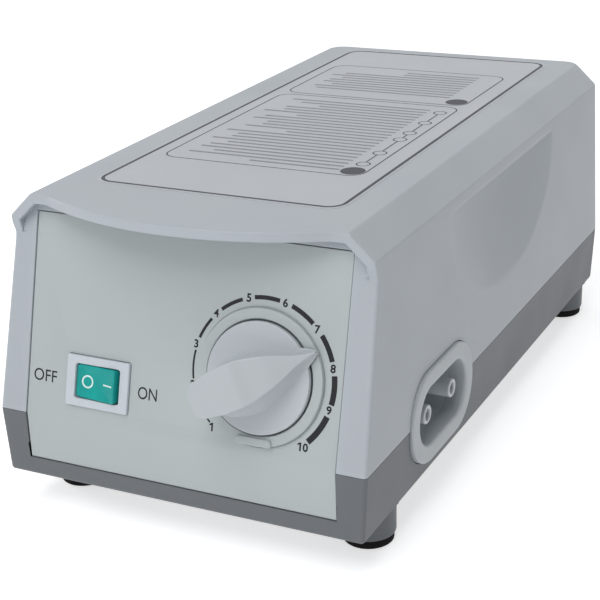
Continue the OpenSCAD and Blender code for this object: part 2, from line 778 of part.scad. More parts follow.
module hanger(side) {
    color([0.4, 0.42, 0.44]) placed() on_rear(side) translate([0, pin_out, 0])
        mirror([side > 0 ? 1 : 0, 0, 0]) difference() {
            union() {
                cylinder(r = barrel_r, h = hanger_h, center = true);
                translate([0, -hanger_t / 2, -hanger_h / 2])
                    cube([hanger_reach - hanger_h / 2, hanger_t, hanger_h]);
                translate([hanger_reach - hanger_h / 2, hanger_t / 2, -hanger_tip])
                    rotate([90, 0, 0]) linear_extrude(hanger_t) {
                        circle(d = hanger_h);
                        translate([-hanger_h / 2, 0]) square([hanger_h, hanger_tip]);
                        translate([0, hanger_tip]) circle(d = hanger_h);
                    }
            }
            cylinder(r = hanger_pin_r + running, h = hanger_h + 2 * cut, center = true);
        }
}

// Control knob: a disc and a leaf-shaped grip, higher at the tail
tail_reach = knob_r - 1;
disc_h = ring_h + 0.2;
disc_low = 0.1;
tip_low = ring_h + 0.35;
tail_round = 2.6;
tip_step = 1.5;
grip_lap = 0.6;
grip_steps = 14;
side_steps = 4;
function grip_top_h(s) = knob_h + (tip_h - knob_h) * (s + tail_reach) / (tip_reach + tail_reach);
// Half widths at the top and at the foot of the grip, from its tail to its tip
function tail_stations(w0) = [for (a = [0, 30, 60])
    [-tail_reach + tail_round * (1 - cos(a)), w0 - tail_round + tail_round * sin(a)]];
function leaf_stations(w0, w1, w2) = [for (i = [0 : grip_steps]) let (t = i / grip_steps)
    bezier([tail_round - tail_reach, w0], [-6, w1], [5.5, w2], [tip_reach, 0.12], t)];
grip_top = concat(tail_stations(grip_half_w - 1.8),
    leaf_stations(grip_half_w - 1.8, grip_half_w + 2.1, grip_half_w - 0.9));
grip_foot_w = grip_half_w + 2.6;
grip_foot = concat(tail_stations(grip_half_w - 0.6),
    leaf_stations(grip_half_w - 0.6, grip_foot_w + 1.9, grip_foot_w));
tip_foot_w = 0.4;
// Foot of the grip: buried in the disc, and clear of the ring beyond it
function grip_foot_h(s) = s > knob_r - tip_step ? tip_low : disc_low + grip_lap;
// One cross-section of the grip, from its right foot over the top to its left foot
function grip_side(i, k) = let (s = grip_top[i][0], low = grip_foot_h(s), high = grip_top_h(s),
    wt = grip_top[i][1], wf = max(grip_foot[i][1], wt + tip_foot_w), t = k / side_steps)
    [wf * pow(1 - t, 2) + wt * (1 - pow(1 - t, 2)), low + (high - low) * (t + t * t) / 2];
grip_n = 2 * (side_steps + 1);
grip_points = [for (i = [0 : len(grip_top) - 1]) for (j = [0 : grip_n - 1])
    let (k = j <= side_steps ? j : grip_n - 1 - j, q = grip_side(i, k))
    [(j <= side_steps ? 1 : -1) * q[0], grip_top[i][0], q[1]]];
module grip() {
    last = (len(grip_top) - 1) * grip_n;
    polyhedron(grip_points, concat(
        [for (i = [0 : len(grip_top) - 2]) for (f = band((i + 1) * grip_n, i * grip_n, grip_n)) f],
        [[for (k = [grip_n - 1 : -1 : 0]) k]],
        [[for (k = [0 : grip_n - 1]) last + k]]));
}
// Lowest place that the grip's upper edge reaches towards the front
grip_edge_y = [for (p = grip_points) let (x = p[0], y = p[1])
    (dial_up + y * cos(knob_rest) - x * sin(knob_rest)) * sin(front_lean) - p[2] * cos(front_lean)];
front_reach = min(min(grip_edge_y), hood_corner_y - hood_bulge);
mid_y = (front_reach + rear_reach) / 2;
nut_r = 6.8;
nut_h = 2.2;
nut_play = 0.5;
knob_cavity_h = nut_h + 0.6;
spindle_top = 8;
module control_knob() {
    color([0.72, 0.74, 0.77]) placed() on_front(dial_x, dial_up) rotate([0, 0, -knob_rest]) difference() {
        union() {
            translate([0, 0, disc_low]) cylinder(r = knob_r, h = disc_h - disc_low, $fn = 128);
            grip();
        }
        translate([0, 0, -cut]) cylinder(r = nut_r + nut_play, h = knob_cavity_h + cut - panel_inset);
        cylinder(r = spindle_r, h = spindle_top);
    }
}

// Pressure regulator behind the dial
regulator_r = 9;
regulator_l = 21;
regulator_end = -panel_back - regulator_l;
spindle_end = regulator_end + 4;
bush_root = 1;
module regulator_spindle() {
    color([0.75, 0.75, 0.78]) placed() on_front(dial_x, dial_up)
        translate([0, 0, spindle_end]) cylinder(r = spindle_r, h = spindle_top - spindle_end);
}
module regulator_body() {
    color([0.85, 0.85, 0.82]) placed() on_front(dial_x, dial_up) difference() {
        union() {
            translate([0, 0, regulator_end]) cylinder(r = regulator_r, h = regulator_l);
            translate([0, 0, -panel_back - bush_root])
                cylinder(r = bush_r, h = panel_t + nut_h + bush_root);
            translate([0, 0, regulator_end - nipple_l]) cylinder(r = nipple_r, h = nipple_l + nipple_root);
        }
        translate([0, 0, spindle_end]) cylinder(r = spindle_r + running, h = spindle_top - spindle_end);
        translate([0, 0, regulator_end - nipple_l - cut])
            cylinder(r = nipple_r - nipple_wall, h = nipple_l + spindle_end - regulator_end + 2 * cut);
    }
}
module regulator_nut() {
    color([0.7, 0.68, 0.6]) placed() on_front(dial_x, dial_up)
        translate([0, 0, -panel_inset]) difference() {
        cylinder(r = nut_r, h = nut_h, $fn = 6);
        translate([0, 0, -cut]) cylinder(r = bush_r, h = nut_h + 2 * cut);
    }
}

// Rocker switch
bezel_top = bezel_h - panel_inset;
pivot_drop = 2.6;
pivot_h = bezel_top - pivot_drop;
rocker_end_gap = 0.5;
rocker_side_gap = 0.2;
rocker_half_w = well_w / 2 - rocker_end_gap;
rocker_l = well_l - 2 * rocker_side_gap;
well_past = 3;
rocker_end_h = 3;
rocker_dip = 1;
rocker_low = 4;
trunnion_r = 1.2;
trunnion_l = 1.2;
blade_l = 7;
blade_in = 2;
blade_t = 0.8;
blade_w = 4.8;
blade_dx = 5;
blade_dup = 3;
// Four flat terminals, with their lower ends at the bottom of the switch's body
module blades(long) {
    for (s = [LEFT, RIGHT], t = [LEFT, RIGHT])
        translate([s * blade_dx, t * blade_dup, -switch_depth]) linear_extrude(long)
            square([blade_t, blade_w], center = true);
}
module rocker_frame() {
    color([0.82, 0.83, 0.84]) placed() on_front(-switch_x, switch_up) difference() {
        union() {
            translate([0, 0, -panel_inset]) linear_extrude(bezel_h)
                square([bezel_w, bezel_l], center = true);
            translate([0, 0, -switch_depth]) linear_extrude(switch_depth)
                square([window_w, window_l], center = true);
        }
        translate([0, 0, pivot_h - rocker_low - well_past]) linear_extrude(switch_depth)
            square([well_w, well_l], center = true);
        translate([0, 0, pivot_h]) rotate([90, 0, 0])
            cylinder(r = trunnion_r + running, h = rocker_l + 2 * trunnion_l + rocker_side_gap,
                center = true);
        translate([0, 0, -cut]) blades(blade_in + cut);
    }
}
module rocker_button() {
    dip_r = (pow(rocker_half_w, 2) + pow(rocker_dip, 2)) / (2 * rocker_dip);
    color([0.13, 0.6, 0.56]) placed() on_front(-switch_x, switch_up) translate([0, 0, pivot_h])
        rotate([0, -rocker_half_angle, 0]) {
            difference() {
                translate([0, 0, (rocker_end_h - rocker_low) / 2])
                    cube([2 * rocker_half_w, rocker_l, rocker_end_h + rocker_low], center = true);
                translate([0, 0, rocker_end_h - rocker_dip + dip_r]) rotate([90, 0, 0])
                    cylinder(r = dip_r, h = rocker_l + 2 * cut, center = true, $fn = 200);
            }
            rotate([90, 0, 0]) cylinder(r = trunnion_r, h = rocker_l + 2 * trunnion_l, center = true);
        }
}
module switch_terminals() {
    color([0.8, 0.75, 0.55]) placed() on_front(-switch_x, switch_up)
        translate([0, 0, -blade_l]) blades(blade_l + blade_in);
}

// Mains inlet in the rear of the lower shell
inlet_depth = 16;
inlet_flange_t = 1.5;
inlet_flange_w = inlet_body_w + 4;
inlet_flange_h = inlet_body_h + 3;
inlet_pin_back = 2;
inlet_pin_past = 3;
module figure_eight(r) {
    for (s = [LEFT, RIGHT]) translate([s * inlet_pitch / 2, 0]) circle(r);
    square([inlet_pitch, 1.3 * r], center = true);
}
module inlet_body() {
    color([0.13, 0.13, 0.14]) placed() translate([-inlet_x, body_l + inlet_flange_t, inlet_z])
        rotate([90, 0, 0]) difference() {
            union() {
                linear_extrude(inlet_flange_t) square([inlet_flange_w, inlet_flange_h], center = true);
                linear_extrude(inlet_depth) square([inlet_body_w, inlet_body_h], center = true);
            }
            translate([0, 0, -cut]) linear_extrude(inlet_recess_d + cut) figure_eight(inlet_recess_r);
            for (s = [LEFT, RIGHT]) translate([s * inlet_pitch / 2, 0, 0])
                cylinder(r = inlet_pin_r, h = inlet_depth + cut);
        }
}
inlet_tail_y = body_l + inlet_flange_t - inlet_depth - inlet_pin_past;
module inlet_pins() {
    color([0.75, 0.75, 0.7]) placed() for (s = [LEFT, RIGHT])
        translate([-inlet_x + s * inlet_pitch / 2, body_l + inlet_flange_t - inlet_pin_back, inlet_z])
            rotate([90, 0, 0]) cylinder(r = inlet_pin_r, h = inlet_depth + inlet_pin_past - inlet_pin_back);
}

// Terminal board with the fuse
board_w = 44;
board_l = 20;
board_t = 1.6;
board_x = 12;
board_rear = 18;
board_y = body_l - board_rear;
board_z = floor_z + board_post_h;
fuse_r = 2.5;
fuse_l = 20;
fuse_cap_l = 4.5;
fuse_cap_t = 0.2;
fuse_lift = 1.6;
clip_t = 0.8;
clip_w = 3;
clip_root = 0.5;
clip_open = 1.5;
fuse_z = board_z + board_t + fuse_r + fuse_lift;
module terminal_board() {
    color([0.2, 0.42, 0.26]) placed() {
        translate([board_x - board_w / 2, board_y - board_l / 2, board_z]) cube([board_w, board_l, board_t]);
        for (s = [LEFT, RIGHT])
            translate([board_x + s * (fuse_l - fuse_cap_l) / 2, board_y, board_z + clip_root])
            rotate([90, 0, 90]) linear_extrude(clip_w, center = true) difference() {
                translate([-fuse_r - clip_t, 0])
                    square([2 * (fuse_r + clip_t), fuse_z - board_z + fuse_r - clip_open]);
                translate([0, fuse_z - board_z - clip_root]) circle(fuse_r + fuse_cap_t);
                translate([-fuse_r, fuse_z - board_z]) square([2 * fuse_r, 2 * fuse_r]);
            }
    }
}
module fuse() {
    color([0.85, 0.87, 0.85]) placed() translate([board_x, board_y, fuse_z]) rotate([0, 90, 0]) {
        cylinder(r = fuse_r - fuse_cap_t, h = fuse_l, center = true);
        for (s = [LEFT, RIGHT]) translate([0, 0, s * (fuse_l - fuse_cap_l) / 2])
            cylinder(r = fuse_r + fuse_cap_t, h = fuse_cap_l, center = true);
    }
}

// Electromagnetic drive on its sprung plate
pivot_y = body_l - pivot_rear;
plate_lift = 7.3;
plate_z = floor_z + plate_lift;
plate_t = 3;
plate_in = 17.25;
plate_half_w = half_w - plate_in;
plate_rear = 10;
plate_front = 24;
plate_y0 = pivot_y - arm_reach - plate_front;
plate_y1 = pivot_y + plate_rear;
drive_z = floor_z + drive_lift;
isolator_in = 6;
isolator_x = plate_half_w - isolator_in;
isolator_cap_h = 2.5;
isolator_pin_r = 2.5;
isolator_flange_r = 6;
isolator_neck_r = 4;
function isolator_place(side, rear) =
    [side * isolator_x, rear ? plate_y1 - isolator_in : plate_y0 + isolator_in, 0];
magnet_t = 4;
magnet_w = 12;
magnet_h = 20;
magnet_y = pivot_y - arm_reach;
core_y0 = magnet_y + magnet_t / 2 + drive_gap;
yoke_l = 8;
arm_t = 4;
core_w = 2 * (pivot_x - arm_t / 2 - core_gap);
magnet_x = core_w / 4;
leg_w = core_w / 6;
head_y = pivot_y - head_reach;
valve_y = plate_y0 - motor_gap - motor_r;
rail_w = 5;
rail_in = 0.5;
rail_end = 2;
cradle_half_l = head_r - 4.5;
cradle_side = 1;
cradle_up = 3.5;
module pump_frame() {
    color([0.7, 0.71, 0.72]) placed() difference() {
        union() {
            translate([-plate_half_w, plate_y0, plate_z])
                cube([2 * plate_half_w, plate_y1 - plate_y0, plate_t]);
            for (s = [LEFT, RIGHT]) {
                translate([s * (core_w / 2 - leg_w / 2 - rail_in) - rail_w / 2, core_y0 + rail_end, plate_z])
                    cube([rail_w, core_l - 2 * rail_end, drive_z - core_h / 2 - plate_z]);
                translate([s > 0 ? head_x + cradle_side : cradle_side - head_x - head_t,
                    head_y - cradle_half_l, plate_z + cradle_side])
                    cube([head_t - 2 * cradle_side, 2 * cradle_half_l,
                        drive_z - head_r - plate_z - cradle_side + cradle_up + 2 * cradle_side]);
            }
        }
        for (side = [LEFT, RIGHT], rear = [false, true])
            translate(isolator_place(side, rear)) translate([0, 0, plate_z - cut])
                cylinder(r = isolator_neck_r, h = plate_t + 2 * cut);
        translate([0, head_y, drive_z]) rotate([0, 90, 0])
            cylinder(r = head_r, h = 4 * plate_half_w, center = true, $fn = 96);
    }
}
module isolator(side, rear) {
    color([0.2, 0.2, 0.2]) placed() translate(isolator_place(side, rear)) rotate_extrude() polygon([
        [isolator_pin_r, floor_z],
        [isolator_flange_r, floor_z],
        [isolator_flange_r, plate_z],
        [isolator_neck_r, plate_z],
        [isolator_neck_r, plate_z + plate_t],
        [isolator_flange_r, plate_z + plate_t],
        [isolator_flange_r - 1, plate_z + plate_t + isolator_cap_h],
        [isolator_pin_r, plate_z + plate_t + isolator_cap_h]]);
}
module laminated_core() {
    color([0.45, 0.45, 0.47]) placed() translate([0, 0, drive_z - core_h / 2]) linear_extrude(core_h) {
        translate([-core_w / 2, core_y0 + core_l - yoke_l]) square([core_w, yoke_l]);
        for (s = [LEFT, RIGHT]) translate([s * (core_w - leg_w) / 2 - leg_w / 2, core_y0])
            square([leg_w, core_l]);
        translate([-leg_w, core_y0]) square([2 * leg_w, core_l]);
    }
}
bobbin_t = 1;
bobbin_gap = 0.4;
bobbin_half_w = 2 * leg_w - bobbin_gap;
bobbin_half_h = core_h / 2 + bobbin_half_w - leg_w;
bobbin_y0 = core_y0 + 1;
bobbin_l = core_l - yoke_l - 1;
module around_leg(half_wide, half_high, y0, long) {
    translate([0, y0 + long, drive_z]) rotate([90, 0, 0]) linear_extrude(long) difference() {
        square([2 * half_wide, 2 * half_high], center = true);
        square([2 * leg_w, core_h], center = true);
    }
}
module coil_bobbin() {
    color([0.85, 0.8, 0.6]) placed() {
        around_leg(leg_w + bobbin_t, core_h / 2 + bobbin_t, bobbin_y0, bobbin_l);
        for (y = [bobbin_y0, bobbin_y0 + bobbin_l - bobbin_t])
            around_leg(bobbin_half_w, bobbin_half_h, y, bobbin_t);
    }
}
module coil_winding() {
    color([0.72, 0.42, 0.2]) placed() translate([0, bobbin_y0 + bobbin_l - bobbin_t, drive_z])
        rotate([90, 0, 0]) linear_extrude(bobbin_l - 2 * bobbin_t) difference() {
            square([2 * bobbin_half_w - bobbin_t, 2 * bobbin_half_h - bobbin_t], center = true);
            square([2 * (leg_w + bobbin_t), core_h + 2 * bobbin_t], center = true);
        }
}

// Swinging arms with their magnets and diaphragm discs
arm_h = 16;
arm_hub_r = 5;
arm_pin_r = 2;
arm_pin_past = 2;
arm_pin_h = drive_lift + arm_h / 2 + arm_pin_past;
arm_gap = 0.3;
stud_r = 2.5;
disc_t = 3;
disc_r = 8.6;
module swing_arm(side) {
    color([0.9, 0.9, 0.86]) placed() mirror([side < 0 ? 1 : 0, 0, 0]) difference() {
        union() {
            translate([pivot_x, pivot_y, drive_z]) cylinder(r = arm_hub_r, h = arm_h, center = true);
            translate([pivot_x - arm_t / 2, magnet_y - magnet_t / 2 - arm_t, drive_z - arm_h / 2])
                cube([arm_t, arm_reach + magnet_t / 2 + arm_t, arm_h]);
            translate([magnet_x - magnet_w / 2, magnet_y - magnet_t / 2 - arm_t, drive_z - arm_h / 2])
                cube([pivot_x - magnet_x + magnet_w / 2, arm_t, arm_h]);
            translate([pivot_x, head_y, drive_z]) rotate([0, 90, 0])
                cylinder(r = stud_r, h = head_x - pivot_x - disc_t / 3);
            translate([head_x - disc_t, head_y, drive_z]) rotate([0, 90, 0])
                cylinder(r = disc_r, h = disc_t);
        }
        translate([pivot_x, pivot_y, drive_z])
            cylinder(r = arm_pin_r + running, h = arm_h + 2 * cut, center = true);
    }
}
module arm_magnet(side) {
    color([0.3, 0.3, 0.32]) placed() translate([side * magnet_x, magnet_y, drive_z])
        cube([magnet_w, magnet_t, magnet_h], center = true);
}
module arm_pivot_pins() {
    color([0.75, 0.75, 0.78]) placed() for (s = [LEFT, RIGHT])
        translate([s * pivot_x, pivot_y, plate_z + plate_t]) {
            cylinder(r = arm_pin_r, h = floor_z + arm_pin_h - plate_z - plate_t);
            cylinder(r = arm_hub_r - 1, h = drive_z - arm_h / 2 - arm_gap - plate_z - plate_t);
        }
}
skin_t = 1.4;
skin_in_r = disc_r + 0.7;
skin_out_r = head_r - 0.5;
groove_depth = 1.2;
groove_lip = 1.3;
groove_w = 1.4;
module diaphragm(side) {
    color([0.18, 0.18, 0.18]) placed() translate([side * head_x, head_y, drive_z])
        rotate([0, -90 * side, 0]) rotate_extrude($fn = 96) polygon([
            [skin_in_r, skin_t],
            [skin_in_r + groove_lip, skin_t - groove_depth],
            [skin_in_r + groove_lip + groove_w, skin_t - groove_depth],
            [skin_in_r + 2 * groove_lip + groove_w, skin_t],
            [skin_out_r, skin_t],
            [skin_out_r, 0],
            [skin_in_r, 0]]);
}
chamber_r = 14.5;
chamber_depth = 7;
air_hole_r = 1.5;
air_hole_out = 6;
module pump_head(side) {
    color([0.8, 0.8, 0.78]) placed() translate([side * head_x, head_y, drive_z])
        rotate([0, 90 * side, 0]) difference() {
            cylinder(r = head_r, h = head_t, $fn = 96);
            translate([0, 0, -cut]) cylinder(r = chamber_r, h = chamber_depth + cut);
            for (s = [LEFT, RIGHT]) translate([0, s * air_hole_out, 0])
                cylinder(r = air_hole_r, h = head_t + cut);
        }
}
cover_x = head_x + head_t;
cover_skin = 0.8;
cover_rim = 3;
module valve_cover(side) {
    color([0.78, 0.78, 0.76]) placed() difference() {
        union() {
            translate([side * cover_x, head_y, drive_z]) rotate([0, 90 * side, 0])
                cylinder(r = head_r, h = cover_t, $fn = 96);
            translate([side * (cover_x + nipple_r), head_y - head_r + nipple_root, drive_z])
                rotate([90, 0, 0]) cylinder(r = nipple_r, h = nipple_l + nipple_root);
        }
        translate([side * (cover_x - cut), head_y, drive_z]) rotate([0, 90 * side, 0])
            cylinder(r = chamber_r - cover_rim, h = cover_t - cover_skin, $fn = 96);
        translate([side * (cover_x + nipple_r), head_y - air_hole_out, drive_z]) rotate([90, 0, 0])
            cylinder(r = nipple_r - nipple_wall, h = head_r + nipple_l);
    }
}

// Slow rotary valve on its timer motor
motor_z = floor_z + motor_post_h;
shaft_in = 7;
motor_top = motor_z + motor_h;
base_post_h = 3;
base_post_r = 2.5;
base_post_in = 4;
base_z = motor_top + base_post_h;
base_h = 8;
disc_gap = 0.3;
rotor_z = base_z + base_h + disc_gap;
rotor_h = 4;
rotor_r = valve_r - 6;
rotor_stem_h = 3;
valve_cover_h = 15;
valve_cover_t = 2;
valve_wall = 4;
valve_cover_z = base_z + base_h;
lower_port_z = base_z + base_h / 2;
upper_port_z = valve_cover_z + 8;
ports_r = valve_r / 2;
ports_hole_r = 1.3;
disc_hole_r = 2;
spoke_root = 2;
module at_valve() {
    translate([-valve_x, valve_y, 0]) children();
}
module spoke(angle, z, from, r) {
    rotate([0, 0, angle]) translate([from, 0, z]) rotate([0, 90, 0])
        cylinder(r = r, h = valve_r + nipple_l - from);
}
module timer_motor() {
    color([0.75, 0.75, 0.77]) placed() at_valve() difference() {
        translate([0, 0, motor_z]) cylinder(r = motor_r, h = motor_h, $fn = 96);
        translate([0, 0, motor_top - shaft_in - cut])
            cylinder(r = valve_shaft_r + running, h = shaft_in + 2 * cut);
    }
}
front_port_a = -55;
rear_port_a = -15;
module distributor_base() {
    color([0.88, 0.88, 0.85]) placed() at_valve() difference() {
        union() {
            translate([0, 0, base_z]) cylinder(r = valve_r, h = base_h, $fn = 96);
            for (a = [90, 210, 330]) rotate([0, 0, a]) translate([valve_r - base_post_in, 0, motor_top])
                cylinder(r = base_post_r, h = base_post_h + cut);
            for (a = [front_port_a, rear_port_a]) spoke(a, lower_port_z, valve_r - spoke_root, nipple_r);
        }
        translate([0, 0, base_z - cut]) cylinder(r = valve_shaft_r + running, h = base_h + 2 * cut);
        for (a = [front_port_a, rear_port_a]) {
            spoke(a, lower_port_z, ports_r - cut, nipple_r - nipple_wall);
            rotate([0, 0, a]) translate([ports_r, 0, lower_port_z]) cylinder(r = ports_hole_r, h = base_h);
        }
    }
}
module distributor_rotor() {
    color([0.3, 0.35, 0.5]) placed() at_valve() difference() {
        union() {
            translate([0, 0, rotor_z]) cylinder(r = rotor_r, h = rotor_h, $fn = 96);
            translate([0, 0, motor_top - shaft_in])
                cylinder(r = valve_shaft_r, h = rotor_z + rotor_h + rotor_stem_h - motor_top + shaft_in);
        }
        translate([ports_r, 0, rotor_z - cut]) cylinder(r = disc_hole_r, h = rotor_h + 2 * cut);
        translate([-ports_r, 0, rotor_z - cut]) cylinder(r = disc_hole_r, h = rotor_h / 2 + cut);
    }
}
regulator_port_a = 5;
right_port_a = 38;
left_port_a = 110;
module distributor_cover() {
    color([0.86, 0.86, 0.83]) placed() at_valve() difference() {
        union() {
            translate([0, 0, valve_cover_z]) cylinder(r = valve_r, h = valve_cover_h, $fn = 96);
            for (a = [regulator_port_a, right_port_a, left_port_a])
                spoke(a, upper_port_z, valve_r - spoke_root, nipple_r);
        }
        translate([0, 0, valve_cover_z - cut])
            cylinder(r = valve_r - valve_wall, h = valve_cover_h - valve_cover_t + cut, $fn = 96);
        for (a = [regulator_port_a, right_port_a, left_port_a])
            spoke(a, upper_port_z, valve_r - 2 * valve_wall, nipple_r - nipple_wall);
    }
}
spring_r = 5.6;
spring_wire_r = 0.4;
spring_turns = 4;
module distributor_spring() {
    low = rotor_z + rotor_h + disc_gap + spring_wire_r;
    high = valve_cover_z + valve_cover_h - valve_cover_t - spring_wire_r;
    steps = 10 * spring_turns;
    color([0.7, 0.7, 0.72]) placed() at_valve() bar([for (i = [0 : steps])
        [spring_r * cos(36 * i), spring_r * sin(36 * i), low + (high - low) * i / steps]],
        spring_wire_r, 6);
}

// Hoses between the nipples
hose_sides = 8;
hose_steps = 10;
hose_lap = 6;
slack_left = nipple_l;
slack_right = 2.5 * nipple_l;
slack_regulator = 2.5 * nipple_l;
slack_outlet = 1.5 * nipple_l;
function spoke_tip(angle, z) = [-valve_x + (valve_r + nipple_l) * cos(angle),
    valve_y + (valve_r + nipple_l) * sin(angle), z];
function spoke_way(angle) = [cos(angle), sin(angle), 0];
// Path of a hose from nipple tip a, that points along da, to nipple tip b, that points along db
function hose_path(a, da, b, db, slack) = concat([a - hose_lap * da],
    [for (i = [0 : hose_steps]) bezier(a, a + slack * da, b + slack * db, b, i / hose_steps)],
    [b - hose_lap * db]);
module hose(a, da, b, db, slack) {
    r_in = nipple_r / cos(180 / hose_sides);
    color([0.85, 0.87, 0.88]) placed()
        tube(hose_path(a, da, b, db, slack), r_in + hose_wall, r_in, hose_sides);
}
function cover_tip(side) = [side * (cover_x + nipple_r), head_y - head_r - nipple_l, drive_z];
module hose_pump_left() {
    hose(spoke_tip(left_port_a, upper_port_z), spoke_way(left_port_a), cover_tip(LEFT), [0, -1, 0],
        slack_left);
}
module hose_pump_right() {
    hose(spoke_tip(right_port_a, upper_port_z), spoke_way(right_port_a), cover_tip(RIGHT),
        [0, -1, 0], slack_right);
}
module hose_regulator() {
    hose(spoke_tip(regulator_port_a, upper_port_z), spoke_way(regulator_port_a),
        front_point(dial_x, dial_up, regulator_end - nipple_l), [0, cos(front_lean), -sin(front_lean)],
        slack_regulator);
}
module hose_outlet(s, angle) {
    hose(spoke_tip(angle, lower_port_z), spoke_way(angle),
        [nozzle_tail_x, nozzle_y(s), port_z], [-1, 0, 0], slack_outlet);
}

// Insulated wires: each is a curve through a few places
wire_sides = 6;
wire_lap = 0.3;
wire_z = floor_z + 3;
wire_lane_x = half_w - wall - 4.35;
function blade_tip(s, t) = front_point(s * blade_dx - switch_x, switch_up + t * blade_dup,
    wire_lap - switch_depth - blade_l);
function wire_path(p) = [for (i = [1 : len(p) - 3], k = [0 : 2])
    through(p[i - 1], p[i], p[i + 1], p[i + 2], k / 3)];
module wire(p) {
    n = len(p) - 1;
    ends = concat([2 * p[0] - p[1]], p, [2 * p[n] - p[n - 1]]);
    bar(concat(wire_path(ends), [p[n]]), wire_r, wire_sides);
}
module wiring() {
    board_left = board_x - board_w / 2;
    board_front = board_y - board_l / 2;
    color([0.35, 0.25, 0.2]) placed() {
        for (s = [LEFT, RIGHT]) wire([
            [s * inlet_pitch / 2 - inlet_x, inlet_tail_y + wire_lap, inlet_z],
            [s * inlet_pitch / 2 - inlet_x, inlet_tail_y - 6, inlet_z - 1 - s],
            [board_left - 7, board_y - 4 - 3 * s, board_z - 1 - s],
            [board_left + wire_lap, board_y - 4 - 3 * s, board_z + board_t / 2]]);
        for (s = [LEFT, RIGHT]) wire([
            [board_left + 4 + 1.6 * s, board_front + wire_lap, board_z + board_t / 2],
            [board_left - 3 + 1.6 * s, board_front - 3.5 - 1.4 * s, wire_z],
            [-wire_lane_x + 11, board_front - 3.5 - 1.4 * s, wire_z],
            [1.2 - wire_lane_x + 1.4 * s, pivot_y - 2, wire_z],
            [-wire_lane_x + 1.4 * s, head_y, wire_z],
            [-wire_lane_x + 1.4 * s, valve_y, wire_z],
            [-wire_lane_x + 8 + 2 * s, valve_y - motor_r - 6, wire_z + 5],
            [-switch_x - 6 + 5 * s, min(blade_tip(s, 1)[1] + 8, valve_y - motor_r - 2),
                blade_tip(s, 1)[2] - 2],
            blade_tip(s, 1)]);
        for (s = [LEFT, RIGHT]) wire([
            [12 + 3 * s, board_front + wire_lap, board_z + board_t / 2],
            [12 + 3 * s, board_front - 6, board_z + 9],
            [5 + 3 * s, core_y0 + core_l + 5, drive_z + core_h / 2 + 3],
            [5 + 3 * s, bobbin_y0 + bobbin_l - wire_lap, drive_z + bobbin_half_h - wire_r]]);
        for (s = [LEFT, RIGHT]) wire([
            [2 + 2 * s, board_front + wire_lap, board_z + board_t / 2],
            [-1 + 2 * s, board_front - 8, wire_z],
            [-10 + 2 * s, head_y, wire_z],
            [-16 + 2 * s, valve_y + motor_r + 6, wire_z + 1],
            [-20 + 2 * s, valve_y + motor_r - 1, motor_z + 5]]);
    }
}

upper_housing();
lower_housing();
front_panel();
top_label();
port_bezel();
port_cup();
nozzle(LEFT);  // nozzle_front
nozzle(RIGHT);  // nozzle_rear
foot(LEFT, false);  // foot_front_left
foot(RIGHT, false);  // foot_front_right
foot(LEFT, true);  // foot_rear_left
foot(RIGHT, true);  // foot_rear_right
housing_screws();
hanger(LEFT);  // hanger_left
hanger(RIGHT);  // hanger_right
hanger_bracket(LEFT);  // hanger_bracket_left
hanger_bracket(RIGHT);  // hanger_bracket_right
hanger_pins();
control_knob();
regulator_spindle();
regulator_body();
regulator_nut();
rocker_frame();
rocker_button();
switch_terminals();
inlet_body();
inlet_pins();
terminal_board();
fuse();
wiring();
pump_frame();
isolator(LEFT, false);  // isolator_front_left
isolator(RIGHT, false);  // isolator_front_right
isolator(LEFT, true);  // isolator_rear_left
isolator(RIGHT, true);  // isolator_rear_right
laminated_core();
coil_bobbin();
coil_winding();
swing_arm(LEFT);  // swing_arm_left
swing_arm(RIGHT);  // swing_arm_right
arm_magnet(LEFT);  // arm_magnet_left
arm_magnet(RIGHT);  // arm_magnet_right
arm_pivot_pins();
diaphragm(LEFT);  // diaphragm_left
diaphragm(RIGHT);  // diaphragm_right
pump_head(LEFT);  // pump_head_left
pump_head(RIGHT);  // pump_head_right
valve_cover(LEFT);  // valve_cover_left
valve_cover(RIGHT);  // valve_cover_right
timer_motor();
distributor_base();
distributor_rotor();
distributor_cover();
distributor_spring();
hose_pump_left();
hose_pump_right();
hose_regulator();
hose_outlet(LEFT, front_port_a);  // hose_outlet_front
hose_outlet(RIGHT, rear_port_a);  // hose_outlet_rear
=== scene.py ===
import math
import bmesh
import bpy
from mathutils import Matrix, Vector
from mathutils.geometry import tessellate_polygon


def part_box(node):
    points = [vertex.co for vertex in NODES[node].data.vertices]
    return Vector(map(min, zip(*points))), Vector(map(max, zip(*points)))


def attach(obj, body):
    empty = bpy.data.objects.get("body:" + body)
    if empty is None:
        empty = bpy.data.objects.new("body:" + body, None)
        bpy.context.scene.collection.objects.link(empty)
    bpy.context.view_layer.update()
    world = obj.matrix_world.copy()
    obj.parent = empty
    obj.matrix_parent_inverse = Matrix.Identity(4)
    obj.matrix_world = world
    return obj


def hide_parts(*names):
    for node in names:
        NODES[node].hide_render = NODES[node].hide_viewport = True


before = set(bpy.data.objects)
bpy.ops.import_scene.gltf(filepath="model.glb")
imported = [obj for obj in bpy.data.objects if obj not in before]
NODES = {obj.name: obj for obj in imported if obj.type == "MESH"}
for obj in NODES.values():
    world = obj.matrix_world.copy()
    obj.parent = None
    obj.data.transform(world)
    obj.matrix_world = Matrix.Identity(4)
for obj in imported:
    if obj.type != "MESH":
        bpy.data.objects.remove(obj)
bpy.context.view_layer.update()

# Shapes are written in millimetres from the middle of the shells' front, with the floor at 0,
# and at() places them in the shared frame's metres
MM = 0.001
low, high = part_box("lower_housing")
ORIGIN = Vector(((low[0] + high[0]) / 2, low[1], 0))

# Case: half width at the split line, heights of the split line, of the chamfer's foot and of the top
HALF_W, SPLIT, CHAMFER_Z, TOP = 59.65, 32.95, 89.75, 96.95
# How far the sides and the back lean in between the split line and the chamfer
DRAFT = 1.75
